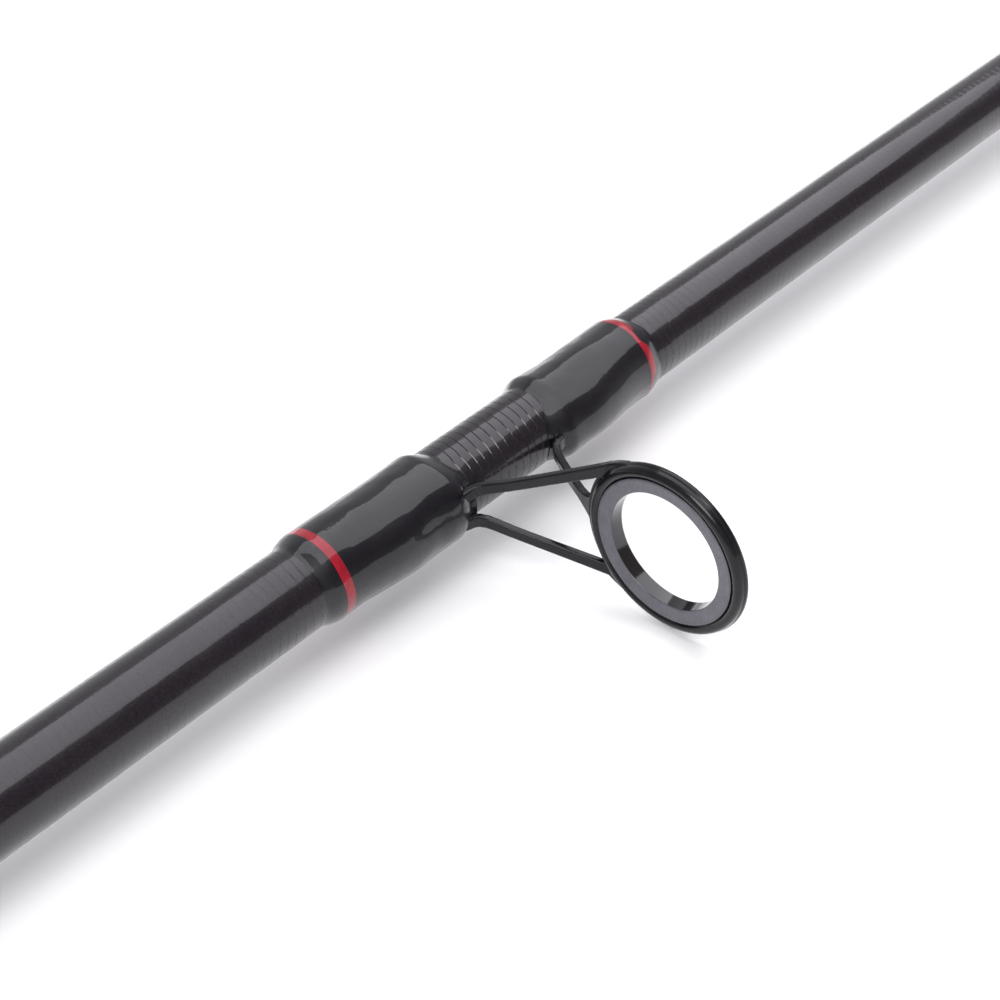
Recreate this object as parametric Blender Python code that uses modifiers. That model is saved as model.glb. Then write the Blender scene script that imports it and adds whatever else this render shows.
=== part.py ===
"""Two-piece spinning rod, 2.70 m, with a put-over ferrule and ring guides.

World frame: +X runs from the butt to the tip along the blank's axis, +Z is up, and the
guides stand out towards -Y, so the rod is modelled as it lies on a table. The origin is
the centre of the butt cap's flat end face.
"""
import bpy
import bmesh
from math import cos, exp, pi, radians, sin, sqrt
from mathutils import Matrix, Vector

MM = 0.001

# Clearances between pieces
FIT_GAP = 0.30 * MM          # pieces that seat on or in each other
THREAD_GAP = 0.15 * MM       # thread wraps, bands and the ferrule, on the blank
CUT_MARGIN = 1.0 * MM        # how far a cutter runs past the face that it opens

# Overall
ROD_LENGTH = 2.700
BUTT_SECTION_END = 0.513 * ROD_LENGTH    # end of the butt blank, inside the ferrule
FERRULE_OVERLAP = 70 * MM

# Blanks: outer radius falls along the rod
BUTT_RADIUS = 9.2 * MM       # at x = 0
BUTT_END_RADIUS = 5.74 * MM  # at the end of the butt blank
BUTT_TAPER = (BUTT_RADIUS - BUTT_END_RADIUS) / BUTT_SECTION_END
BUTT_WALL = 1.5 * MM
FERRULE_WALL = 1.1 * MM
FERRULE_NECK = 55 * MM       # length over which the ferrule swell runs out
BELOW_FERRULE_RADIUS = BUTT_END_RADIUS - 0.14 * MM
TIP_RADIUS = 1.3 * MM
TIP_WALL = 0.6 * MM
BLANK_SIDES = 20
HANDLE_SIDES = 24
HOOD_SIDES = 40

# Handle, from the butt forwards: its pieces are as thick as the blank makes them
CAP_LENGTH = 22 * MM
CAP_FLOOR = 6 * MM
CAP_EDGE = 2.4 * MM
REAR_GRIP_LENGTH = 375 * MM
TRIM_RING_LENGTH = 3 * MM
SEAT_LENGTH = 130 * MM
SEAT_COLLAR_LENGTH = 3 * MM
SEAT_WALL = 2.2 * MM
ARBOR_WALL = 1.4 * MM
ARBOR_LENGTH = 24 * MM
ARBOR_INSET = 8 * MM
SEAT_BORE = BUTT_RADIUS - BUTT_TAPER * REAR_GRIP_LENGTH + 2 * FIT_GAP + ARBOR_WALL
SEAT_RADIUS = SEAT_BORE + SEAT_WALL
SEAT_COLLAR_RADIUS = SEAT_RADIUS + 1.6 * MM
TRIM_RING_RADIUS = SEAT_RADIUS + 1.8 * MM
REAR_GRIP_RADIUS = SEAT_RADIUS + 2.1 * MM
REAR_GRIP_WAIST = SEAT_RADIUS + 0.5 * MM
CAP_RADIUS = REAR_GRIP_RADIUS + 0.6 * MM
HOOD_LENGTH = 26 * MM
HOOD_WALL = 1.6 * MM
HOOD_POCKET_DEPTH = 18 * MM
HOOD_POCKET_HEIGHT = 5.2 * MM
HOOD_POCKET_HALF_ANGLE = radians(46)
NUT_LENGTH = 16 * MM
NUT_RADIUS = SEAT_RADIUS + 2.4 * MM
NUT_RIBS = 12
NUT_RIB_DEPTH = 0.8 * MM
NUT_EDGE = 1.5 * MM
FORE_GRIP_LENGTH = 92 * MM
FORE_GRIP_REAR_RADIUS = SEAT_RADIUS + 2.0 * MM
FORE_GRIP_WALL = 2.7 * MM    # foam over the blank at its front end
CHECK_LENGTH = 7 * MM
CHECK_STEP = 0.4 * MM        # from the fore grip's front end down to the check
CHECK_NOSE = 0.9 * MM
KEEPER_OFFSET = 42 * MM      # from the winding check to the middle of the hook keeper
KEEPER_HALF_SPAN = 7 * MM
KEEPER_FOOT = 8 * MM
KEEPER_RISE = 3.4 * MM
KEEPER_WIRE = 0.6 * MM
KEEPER_WRAP = 9 * MM

# Thread wraps under epoxy
WRAP_THICKNESS = 0.75 * MM
WRAP_END = 1.6 * MM          # length of the rounded end
BAND_WIDTH = 1.6 * MM
BAND_DEPTH = 0.30 * MM
REAR_BAND_FROM_END = 3.9 * MM    # from the wrap's outer end to the band's middle
FRONT_BAND_FROM_END = 2.7 * MM
FERRULE_WRAP_LENGTH = 24 * MM
FERRULE_WRAP_INSET = 3 * MM

# Guides: the stripper's sizes, which the others take in proportion to their ring
STRIPPER_RING = 24.8 * MM
STRIPPER_HEIGHT = 1.508 * STRIPPER_RING  # ring's centre over the blank's axis
RING_PROUD = 2.16 * MM       # frame's rolled edge beyond the insert
FRAME_SHEET = 1.3 * MM
COLLAR_HEIGHT = 1.5 * MM     # butt side of the collar, from the frame's mid-plane
INSERT_FRONT = 1.36 * MM
INSERT_BACK = 1.44 * MM
REAR_FOOT_REACH = 33 * MM    # ring plane to the foot's end
FRONT_FOOT_REACH = 30 * MM
FOOT_START = 9.6 * MM        # ring plane to where the legs leave the blank
FOOT_THICKNESS = 1.1 * MM
FOOT_TOE = 0.45 * MM
FOOT_STATIONS = 4
LEG_WIDTH = 1.9 * MM
LEG_SPREAD = 2.6 * MM        # half the distance between a pair's legs at the blank
LEG_RING_ANGLE = radians(39)
REAR_WRAP_REACH = 40 * MM
FRONT_WRAP_REACH = 36.4 * MM
FOOT_HUMP = 1.15 * MM        # how far epoxy stands up over the foot

# Guides: name, place as a share of the rod's length, ring size and ring height as shares
# of the stripper's, feet, sides
GUIDES = [
    ("stripper_guide", 0.4000, 1.000, 1.000, 2, 32),
    ("second_guide", 0.5852, 0.806, 0.802, 2, 24),
    ("third_guide", 0.6982, 0.645, 0.628, 2, 20),
    ("fourth_guide", 0.7833, 0.484, 0.455, 1, 18),
    ("fifth_guide", 0.8519, 0.403, 0.361, 1, 18),
    ("sixth_guide", 0.9093, 0.323, 0.289, 1, 16),
    ("seventh_guide", 0.9574, 0.323, 0.273, 1, 16),
]

# Tip-top
TIP_TOP_RING = 8 * MM
TIP_TOP_TUBE = 13 * MM
TIP_TOP_WALL = 0.45 * MM
TIP_TOP_WRAP = 9 * MM
TIP_TOP_SIDES = 16

# Places that follow from the sizes above
CAP_END = CAP_LENGTH
REAR_GRIP_START = CAP_END + FIT_GAP
REAR_GRIP_END = REAR_GRIP_START + REAR_GRIP_LENGTH
TRIM_RING_START = REAR_GRIP_END + FIT_GAP
SEAT_START = TRIM_RING_START + TRIM_RING_LENGTH + FIT_GAP
SEAT_END = SEAT_START + SEAT_LENGTH
NUT_START = SEAT_START + SEAT_COLLAR_LENGTH + FIT_GAP
HOOD_START = NUT_START + NUT_LENGTH + FIT_GAP
FIXED_HOOD_START = SEAT_END - HOOD_LENGTH
FORE_GRIP_START = SEAT_END + FIT_GAP
FORE_GRIP_END = FORE_GRIP_START + FORE_GRIP_LENGTH
FORE_GRIP_FRONT_RADIUS = BUTT_RADIUS - BUTT_TAPER * FORE_GRIP_END + FIT_GAP + FORE_GRIP_WALL
CHECK_START = FORE_GRIP_END + FIT_GAP
CHECK_END = CHECK_START + CHECK_LENGTH
CHECK_RADIUS = FORE_GRIP_FRONT_RADIUS - CHECK_STEP
FERRULE_MOUTH = BUTT_SECTION_END - FERRULE_OVERLAP
TIP_END = ROD_LENGTH - 6 * MM

COLOURS = {
    "carbon": ((0.018, 0.018, 0.020), 0.18, 0.0),
    "epoxy_black": ((0.010, 0.010, 0.012), 0.08, 0.0),
    "thread_red": ((0.42, 0.012, 0.035), 0.25, 0.0),
    "frame_black": ((0.012, 0.012, 0.014), 0.28, 0.6),
    "ring_grey": ((0.085, 0.085, 0.10), 0.30, 0.0),
    "foam": ((0.020, 0.020, 0.021), 0.85, 0.0),
    "rubber": ((0.014, 0.014, 0.014), 0.70, 0.0),
    "seat": ((0.016, 0.016, 0.018), 0.30, 0.0),
    "anodised_red": ((0.40, 0.015, 0.03), 0.30, 0.9),
    "gunmetal": ((0.16, 0.16, 0.17), 0.30, 1.0),
    "arbor": ((0.55, 0.50, 0.40), 0.80, 0.0),
}


def clear_scene():
    for obj in list(bpy.data.objects):
        bpy.data.objects.remove(obj, do_unlink=True)


def new_collection(name):
    collection = bpy.data.collections.new(name)
    bpy.context.scene.collection.children.link(collection)
    return collection


clear_scene()
ROD = new_collection("spinning_rod")
CUTTERS = new_collection("cutters")


def paint(obj, finish):
    """Give the object its own Principled material in the named finish."""
    colour, roughness, metallic = COLOURS[finish]
    material = bpy.data.materials.new(obj.name + "_material")
    material.use_nodes = True
    shader = material.node_tree.nodes["Principled BSDF"]
    shader.inputs["Base Color"].default_value = (*colour, 1.0)
    shader.inputs["Roughness"].default_value = roughness
    shader.inputs["Metallic"].default_value = metallic
    obj.data.materials.clear()
    obj.data.materials.append(material)


def as_cutter(obj):
    """Keep a guide shape for a Boolean, out of the model."""
    ROD.objects.unlink(obj)
    CUTTERS.objects.link(obj)
    obj.hide_render = True
    obj.display_type = "WIRE"
    return obj


def turned(name, profile, sides, finish=None):
    """A body turned about the X axis from (x, radius) points.

    The points run along the outer side towards -X and come back along the inner side.
    """
    mesh = bpy.data.meshes.new(name)
    ring = [(radius, 0.0, x) for x, radius in profile]
    open_ended = profile[0][1] == 0.0 and profile[-1][1] == 0.0
    count = len(ring)
    edges = [(i, i + 1) for i in range(count - 1)]
    if not open_ended:
        edges.append((count - 1, 0))
    mesh.from_pydata(ring, edges, [])
    obj = bpy.data.objects.new(name, mesh)
    ROD.objects.link(obj)
    obj.rotation_euler = (0.0, pi / 2, 0.0)
    screw = obj.modifiers.new("turn", "SCREW")
    screw.axis = "Z"
    screw.steps = sides
    screw.render_steps = sides
    screw.use_merge_vertices = True
    screw.merge_threshold = 0.00001
    screw.use_smooth_shade = True
    if finish:
        paint(obj, finish)
    return obj


def to_mesh(obj):
    """Replace the object's data with its evaluated mesh in world space."""
    bpy.context.view_layer.update()
    graph = bpy.context.evaluated_depsgraph_get()
    mesh = bpy.data.meshes.new_from_object(obj.evaluated_get(graph))
    mesh.transform(obj.matrix_world)
    made = bpy.data.objects.new(obj.name, mesh)
    name = obj.name
    bpy.data.objects.remove(obj, do_unlink=True)
    made.name = name
    ROD.objects.link(made)
    build = bmesh.new()
    build.from_mesh(mesh)
    bmesh.ops.remove_doubles(build, verts=build.verts, dist=0.000001)
    bmesh.ops.recalc_face_normals(build, faces=build.faces)
    build.to_mesh(mesh)
    build.free()
    return made


def reshape_radius(obj, rule):
    """Move each vertex in or out from the X axis: rule(x, radius, turn) gives its radius.

    turn is the angle from the guides' side, -Y, and runs from -pi to pi.
    """
    for vertex in obj.data.vertices:
        x, y, z = vertex.co
        radius = sqrt(y * y + z * z)
        if radius == 0.0:
            continue
        turn = Vector((-y, z)).angle_signed(Vector((1.0, 0.0)))
        scale = rule(x, radius, turn) / radius
        vertex.co = (x, y * scale, z * scale)


def boolean(obj, other, operation):
    modifier = obj.modifiers.new(operation.lower(), "BOOLEAN")
    modifier.operation = operation
    modifier.object = as_cutter(other)
    return modifier


def loft(name, sections):
    """A closed body through equal rings of points, capped at both ends."""
    build = bmesh.new()
    rings = [[build.verts.new(point) for point in section] for section in sections]
    for before, after in zip(rings, rings[1:]):
        for i in range(len(before)):
            j = (i + 1) % len(before)
            build.faces.new((before[i], before[j], after[j], after[i]))
    build.faces.new(list(reversed(rings[0])))
    build.faces.new(rings[-1])
    bmesh.ops.recalc_face_normals(build, faces=build.faces)
    mesh = bpy.data.meshes.new(name)
    build.to_mesh(mesh)
    build.free()
    obj = bpy.data.objects.new(name, mesh)
    ROD.objects.link(obj)
    return obj


def smooth_step(value):
    value = min(max(value, 0.0), 1.0)
    return value * value * (3.0 - 2.0 * value)


# ---- Blanks ---------------------------------------------------------------------------

def butt_blank_radius(x):
    return BUTT_RADIUS - BUTT_TAPER * x


def ferrule_radius(x):
    """Outside of the tip section's mouth, which sleeves the butt section."""
    return butt_blank_radius(x) + THREAD_GAP + FERRULE_WALL


def tip_blank_radius(x):
    """Outside of the tip section: a straight taper with the ferrule's swell on it."""
    neck_end = BUTT_SECTION_END + FERRULE_NECK
    share = (x - neck_end) / (TIP_END - neck_end)
    body = BELOW_FERRULE_RADIUS + (TIP_RADIUS - BELOW_FERRULE_RADIUS) * share
    if x >= neck_end:
        return body
    swell = 1.0 - smooth_step((x - BUTT_SECTION_END) / FERRULE_NECK)
    return body + (ferrule_radius(x) - body) * swell


def blank_radius(x):
    if x < FERRULE_MOUTH:
        return butt_blank_radius(x)
    return tip_blank_radius(x)


def steps_between(start, end, count):
    return [start + (end - start) * i / count for i in range(count + 1)]


def make_butt_blank():
    stations = steps_between(CAP_FLOOR + FIT_GAP, BUTT_SECTION_END, 1)
    outer = [(x, butt_blank_radius(x)) for x in reversed(stations)]
    inner = [(x, butt_blank_radius(x) - BUTT_WALL) for x in stations]
    turned("butt_blank", outer + inner, BLANK_SIDES, "carbon")


def make_tip_blank():
    socket_end = BUTT_SECTION_END + FIT_GAP
    neck_end = BUTT_SECTION_END + FERRULE_NECK
    stations = steps_between(FERRULE_MOUTH, BUTT_SECTION_END, 1)
    stations += steps_between(BUTT_SECTION_END, neck_end, 4)[1:]
    stations.append(TIP_END)
    outer = [(x, tip_blank_radius(x)) for x in reversed(stations)]
    socket = [(x, butt_blank_radius(x) + THREAD_GAP) for x in (FERRULE_MOUTH, socket_end)]
    stop = butt_blank_radius(socket_end) - BUTT_WALL
    bore = [(socket_end, stop), (neck_end, BELOW_FERRULE_RADIUS - FERRULE_WALL)]
    bore.append((TIP_END, TIP_RADIUS - TIP_WALL))
    turned("tip_blank", outer + socket + bore, BLANK_SIDES, "carbon")


# ---- Handle ---------------------------------------------------------------------------

def sleeve(name, start, end, outer_rule, sides, finish, stations=1, bore_rule=None):
    """A tube on the blank: its bore clears the blank, its outside follows a rule."""
    if bore_rule is None:
        def bore_rule(x):
            return butt_blank_radius(x) + FIT_GAP
    outer = [(x, outer_rule(x)) for x in reversed(steps_between(start, end, stations))]
    bore = [(start, bore_rule(start)), (end, bore_rule(end))]
    return turned(name, outer + bore, sides, finish)


def make_butt_cap():
    bore = butt_blank_radius(CAP_FLOOR) + FIT_GAP
    corner = []
    for i in range(4):
        turn = pi / 2 * i / 3
        x = CAP_EDGE * (1.0 - sin(turn))
        corner.append((x, CAP_RADIUS - CAP_EDGE * (1.0 - cos(turn))))
    outer = [(CAP_END, CAP_RADIUS - CUT_MARGIN), (CAP_END - CUT_MARGIN, CAP_RADIUS)] + corner
    inner = [(0.0, 0.0)]
    socket = [(CAP_FLOOR, 0.0), (CAP_FLOOR, bore), (CAP_END, bore)]
    mesh_profile = [(CAP_FLOOR, 0.0)] + socket[1:] + outer + inner
    turned("butt_cap", mesh_profile, HANDLE_SIDES, "rubber")


def rear_grip_radius(x):
    """Slim in the middle, full at both ends, with rounded shoulders."""
    share = (x - REAR_GRIP_START) / REAR_GRIP_LENGTH
    waist = sin(pi * share) ** 0.8
    edge = min(x - REAR_GRIP_START, REAR_GRIP_END - x) / (3 * MM)
    shoulder = 1.2 * MM * (1.0 - min(edge, 1.0)) ** 2
    return REAR_GRIP_RADIUS + (REAR_GRIP_WAIST - REAR_GRIP_RADIUS) * waist - shoulder


def fore_grip_radius(x):
    share = (x - FORE_GRIP_START) / FORE_GRIP_LENGTH
    edge = min(x - FORE_GRIP_START, FORE_GRIP_END - x) / (3 * MM)
    shoulder = 1.0 * MM * (1.0 - min(edge, 1.0)) ** 2
    taper = (FORE_GRIP_FRONT_RADIUS - FORE_GRIP_REAR_RADIUS) * smooth_step(share)
    return FORE_GRIP_REAR_RADIUS + taper - shoulder


def grip(name, start, end, rule, finish):
    """A foam sleeve whose stations crowd towards the rounded ends."""
    shoulders = [0.0, 3 * MM]
    length = end - start
    middle = [length * share for share in (0.2, 0.5, 0.8)]
    offsets = shoulders + middle + [length - s for s in reversed(shoulders)]
    outer = [(start + offset, rule(start + offset)) for offset in reversed(offsets)]
    bore = [(start, butt_blank_radius(start) + FIT_GAP), (end, butt_blank_radius(end) + FIT_GAP)]
    turned(name, outer + bore, HANDLE_SIDES, finish)


def make_trim_ring():
    sleeve("trim_ring", TRIM_RING_START, TRIM_RING_START + TRIM_RING_LENGTH,
           lambda x: TRIM_RING_RADIUS, HANDLE_SIDES, "anodised_red")


def make_arbors():
    """Rings that centre the seat on the blank."""
    starts = {"rear_arbor": SEAT_START + ARBOR_INSET,
              "front_arbor": SEAT_END - ARBOR_INSET - ARBOR_LENGTH}
    for name, start in starts.items():
        sleeve(name, start, start + ARBOR_LENGTH, lambda x: SEAT_BORE - FIT_GAP, BLANK_SIDES, "arbor")


def make_seat_body():
    collar_end = SEAT_START + SEAT_COLLAR_LENGTH
    outer = [(SEAT_END, SEAT_RADIUS), (collar_end, SEAT_RADIUS)]
    outer += [(collar_end, SEAT_COLLAR_RADIUS), (SEAT_START, SEAT_COLLAR_RADIUS)]
    bore = [(SEAT_START, SEAT_BORE), (SEAT_END, SEAT_BORE)]
    turned("reel_seat_body", outer + bore, HANDLE_SIDES, "seat")


def make_hood(name, closed_end, direction, finish):
    """A hood over the seat with a pocket for one end of the reel's foot.

    The pocket is on the guides' side and opens along direction, 1 for +X and -1 for -X.
    """
    bore = SEAT_RADIUS + FIT_GAP
    wall = bore + HOOD_WALL
    floor = HOOD_LENGTH - HOOD_POCKET_DEPTH
    places = [0.0, floor * 0.5, floor - 0.4 * MM, floor, HOOD_LENGTH * 0.65, HOOD_LENGTH]
    stations = [closed_end + direction * place for place in places]
    profile = [(x, wall) for x in stations] + [(x, bore) for x in reversed(stations)]
    hood = to_mesh(turned(name, profile, HOOD_SIDES))

    def pocket_rule(x, radius, turn):
        place = (x - closed_end) * direction
        side = abs(turn) / HOOD_POCKET_HALF_ANGLE
        outside = radius > (bore + wall) / 2
        if outside:
            rise = smooth_step(place / floor)
            spread = 1.0 - smooth_step((side - 0.9) / 0.5)
            return radius + (HOOD_POCKET_HEIGHT + 0.2 * MM) * rise * spread
        inside = place > floor - 0.2 * MM and side < 1.0
        return radius + (HOOD_POCKET_HEIGHT if inside else 0.0)

    reshape_radius(hood, pocket_rule)
    paint(hood, finish)
    return hood


def make_lock_nut():
    """A ribbed nut behind the sliding hood."""
    end = NUT_START + NUT_LENGTH
    bore = SEAT_RADIUS + FIT_GAP
    edge = NUT_RADIUS - NUT_RIB_DEPTH - 0.4 * MM
    profile = [(end, edge), (end - NUT_EDGE, NUT_RADIUS)]
    profile += [(NUT_START + NUT_EDGE, NUT_RADIUS), (NUT_START, edge)]
    profile += [(NUT_START, bore), (end, bore)]
    nut = to_mesh(turned("lock_nut", profile, 4 * NUT_RIBS))

    def rib_rule(x, radius, turn):
        if radius < NUT_RADIUS - 0.5 * MM:
            return radius
        return radius - NUT_RIB_DEPTH * (0.5 - 0.5 * cos(NUT_RIBS * turn))

    reshape_radius(nut, rib_rule)
    paint(nut, "gunmetal")


def make_winding_check():
    def rule(x):
        share = (x - CHECK_START) / CHECK_LENGTH
        nose = butt_blank_radius(x) + FIT_GAP + CHECK_NOSE
        return CHECK_RADIUS + (nose - CHECK_RADIUS) * share ** 1.5
    sleeve("winding_check", CHECK_START, CHECK_END, rule, HANDLE_SIDES, "gunmetal", 3)


def make_hook_keeper():
    """A low wire arch whose two feet lie along the blank under short wraps."""
    middle = CHECK_END + KEEPER_OFFSET
    reach = KEEPER_HALF_SPAN + KEEPER_FOOT
    offsets = [-reach, -KEEPER_HALF_SPAN - 0.5 * MM, -KEEPER_HALF_SPAN + 1 * MM, -2.5 * MM]
    offsets += [-offset for offset in reversed(offsets)]
    curve = bpy.data.curves.new("hook_keeper", "CURVE")
    curve.dimensions = "3D"
    curve.bevel_depth = KEEPER_WIRE
    curve.bevel_resolution = 2
    curve.use_fill_caps = True
    spline = curve.splines.new("POLY")
    spline.points.add(len(offsets) - 1)
    for point, offset in zip(spline.points, offsets):
        inside = smooth_step((KEEPER_HALF_SPAN + 0.5 * MM - abs(offset)) / (4 * MM))
        height = butt_blank_radius(middle + offset) + THREAD_GAP + KEEPER_WIRE + KEEPER_RISE * inside
        point.co = (middle + offset, -height, 0.0, 1.0)
    obj = bpy.data.objects.new("hook_keeper", curve)
    ROD.objects.link(obj)
    keeper = to_mesh(obj)
    paint(keeper, "gunmetal")
    for name, side in (("hook_keeper_rear_wrap", -1), ("hook_keeper_front_wrap", 1)):
        start = middle + side * (KEEPER_HALF_SPAN + 0.8 * MM)
        end = start + side * KEEPER_WRAP
        height = 2 * KEEPER_WIRE + THREAD_GAP
        channel = loft(name + "_channel", keeper_channel(start, end, side))
        make_wrap(name, end, start, height, 2.2 * KEEPER_WIRE, BLANK_SIDES, [channel])


def keeper_channel(start, end, side):
    """The space that a keeper's foot takes inside its wrap, open at the inner end."""
    half = KEEPER_WIRE + THREAD_GAP
    sections = []
    for x in (start - side * CUT_MARGIN, end - side * CUT_MARGIN * 0.5):
        low = butt_blank_radius(x) - CUT_MARGIN * 0.5
        high = butt_blank_radius(x) + 2 * KEEPER_WIRE + 2 * THREAD_GAP
        sections.append([(x, -low, -half), (x, -high, -half), (x, -high, half), (x, -low, half)])
    return sections


# ---- Thread wraps ---------------------------------------------------------------------

def make_wrap(name, outer_end, inner_end, hump, hump_width, sides, channels, band=None):
    """Epoxied thread from its outer end to its inner end, raised over what it ties down.

    hump is how far it stands up on the guides' side, and hump_width the half-width of
    that. channels are the bodies that leave room for the foot, and band is how far from
    the outer end a groove for a trim band lies.
    """
    length = abs(inner_end - outer_end)
    direction = 1.0 if inner_end > outer_end else -1.0
    places = [0.0, WRAP_END]
    if band:
        half = BAND_WIDTH / 2 + THREAD_GAP
        places += [band - half, band - half]
        places += [band + half, band + half]
    if hump > 0.0:
        places += [length * 0.3, length * 0.55]
    places += [length - WRAP_END, length]
    drops = [0.5 * WRAP_THICKNESS] + [0.0] * (len(places) - 2) + [0.5 * WRAP_THICKNESS]
    if band:
        drops[3] = BAND_DEPTH + THREAD_GAP
        drops[4] = BAND_DEPTH + THREAD_GAP
    outer = []
    for place, drop in zip(places, drops):
        x = outer_end + direction * place
        outer.append((x, blank_radius(x) + THREAD_GAP + WRAP_THICKNESS - drop))
    first, last = sorted((outer_end, inner_end))
    if direction > 0:
        outer.reverse()
    bore = [(x, blank_radius(x) + THREAD_GAP) for x in (first, last)]
    wrap = to_mesh(turned(name, outer + bore, sides))

    def hump_rule(x, radius, turn):
        if radius < blank_radius(x) + 2 * THREAD_GAP:
            return radius
        place = (x - outer_end) * direction
        start = band + BAND_WIDTH if band else 0.1 * length
        rise = smooth_step((place - start) / (0.45 * length))
        side = abs(turn) * radius / hump_width
        return radius + hump * rise * exp(-0.5 * side * side)

    reshape_radius(wrap, hump_rule)
    for channel in channels:
        boolean(wrap, channel, "DIFFERENCE")
    paint(wrap, "epoxy_black")
    return wrap


def make_band(name, middle, sides):
    """A red trim band laid in its groove in a wrap."""
    ends = (middle + BAND_WIDTH / 2, middle - BAND_WIDTH / 2)
    top = THREAD_GAP + WRAP_THICKNESS
    outer = [(x, blank_radius(x) + top) for x in ends]
    inner = [(x, blank_radius(x) + top - BAND_DEPTH) for x in reversed(ends)]
    turned(name, outer + inner, sides, "thread_red")


# ---- Guides ---------------------------------------------------------------------------

class GuideSizes:
    """A guide's sizes, in proportion to the stripper's ring."""

    def __init__(self, station, ring_diameter, height):
        self.station = station
        self.height = height
        self.ring = ring_diameter / 2
        self.scale = ring_diameter / STRIPPER_RING
        slim = self.scale ** 0.6
        self.sheet = FRAME_SHEET * slim
        self.outer = self.ring + RING_PROUD * slim
        self.bore = self.ring - 2.35 * MM * slim
        self.collar = COLLAR_HEIGHT * slim
        self.front = INSERT_FRONT * slim
        self.back = INSERT_BACK * slim
        self.slim = slim
        self.foot_start = FOOT_START * self.scale
        self.foot_thickness = FOOT_THICKNESS * slim
        self.foot_toe = FOOT_TOE * slim
        self.leg_width = LEG_WIDTH * slim
        self.leg_spread = min(LEG_SPREAD * slim, 0.5 * blank_radius(station))
        self.hump = FOOT_HUMP * slim

    def foot_reach(self, side):
        """How far the foot runs from the ring's plane: side is -1 to the butt, 1 to the tip."""
        reach = REAR_FOOT_REACH if side < 0 else FRONT_FOOT_REACH
        return reach * self.scale ** 0.8

    def wrap_reach(self, side):
        if side < 0:
            margin = REAR_WRAP_REACH - REAR_FOOT_REACH
        else:
            margin = FRONT_WRAP_REACH - FRONT_FOOT_REACH
        return self.foot_reach(side) + margin * self.slim

    def surface(self, x):
        """The blank's radius at x from the ring's plane, with the foot's clearance."""
        return blank_radius(self.station + x) + THREAD_GAP


def place_guide(obj, station):
    """Turn the guide's own frame, ring towards +Y, to the rod's, ring towards -Y."""
    obj.rotation_euler = (pi, 0.0, 0.0)
    obj.location = (station, 0.0, 0.0)


def frame_ring_profile(size):
    """The rolled rim with a collar on the butt side, as (x, radius) points."""
    half = size.sheet / 2
    rim = size.outer
    seat = size.ring + FIT_GAP
    shoulder = seat + 0.45 * (rim - seat)
    points = [(half, seat), (half, rim - half * 0.7), (0.0, rim)]
    points += [(-half, rim - half * 0.7), (-half, shoulder)]
    points += [(-size.collar, seat + 0.25 * (rim - seat)), (-size.collar, seat)]
    return points


def strip(name, path, half_widths, half_thickness):
    """A flat strip along a path in the guide's frame, with bevelled long edges."""
    points = [Vector(point) for point in path]
    sections = []
    for i, point in enumerate(points):
        ahead = points[min(i + 1, len(points) - 1)] - points[max(i - 1, 0)]
        ahead.normalize()
        across = Vector((0.0, 0.0, 1.0))
        across = (across - across.dot(ahead) * ahead).normalized()
        normal = ahead.cross(across)
        half = half_widths[i]
        edge = min(0.35 * half_thickness, 0.3 * half)
        ring = []
        corners = ((half - edge, 1.0), (half, 1.0 - edge / half_thickness))
        for a, b in ((1, 1), (-1, 1), (-1, -1), (1, -1)):
            pair = corners if a * b < 0 else corners[::-1]
            for wide, thick in pair:
                ring.append(point + across * (a * wide) + normal * (b * thick * half_thickness))
        sections.append(ring)
    return loft(name, sections)


def foot_sections(size, side, half_start, half_end, extra):
    """A saddle-shaped foot on the blank, along side. extra grows it to make its channel."""
    sections = []
    end = size.foot_reach(side) + extra
    start = size.foot_start - 0.4 * size.leg_width - extra * 4
    for i in range(FOOT_STATIONS):
        share = i / (FOOT_STATIONS - 1)
        x = side * (start + (end - start) * share)
        low = size.surface(x) - (4 * extra)
        high = size.surface(x) + extra
        high += size.foot_thickness + (size.foot_toe - size.foot_thickness) * share ** 1.5
        half = half_start + (half_end - half_start) * share ** 0.6 + extra
        turn = min(half / size.surface(x), 1.2)
        ring = []
        for k in range(-2, 3):
            ring.append((x, low * cos(turn * k / 2), low * sin(turn * k / 2)))
        for k in range(2, -3, -1):
            crown = high - 0.3 * (high - low) * (k / 2) ** 2 * (1.0 if extra == 0.0 else 0.3)
            ring.append((x, crown * cos(turn * k / 2), crown * sin(turn * k / 2)))
        sections.append(ring)
    return sections


def leg_pair(name, size, side):
    """Two legs that spread from one foot to the two sides of the ring."""
    legs = []
    half_thickness = size.sheet / 2 * 0.86
    root = size.surface(side * size.foot_start) + size.foot_thickness * 0.5
    rim = (size.ring + size.outer) / 2 + FIT_GAP
    top = size.height - rim * cos(LEG_RING_ANGLE)
    wide = rim * sin(LEG_RING_ANGLE)
    half = size.leg_width / 2
    end_half = min(half * 1.9, (rim - size.ring - FIT_GAP) / sin(LEG_RING_ANGLE))
    for hand, word in ((1, "left"), (-1, "right")):
        start = Vector((side * size.foot_start, root, hand * size.leg_spread))
        finish = Vector((side * 0.2 * size.sheet, top, hand * wide))
        bend = start.lerp(finish, 0.06) + Vector((0.0, -0.15 * half, 0.0))
        under = start + Vector((side * size.leg_width * 0.25, -0.1 * size.foot_thickness, 0.0))
        path = [under, bend, start.lerp(finish, 0.4), start.lerp(finish, 0.8), finish]
        widths = [half * 0.9, half * 0.95, half * 0.9, half * 1.05, end_half]
        legs.append(strip(name + "_" + word, path, widths, half_thickness))
    return legs


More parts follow.
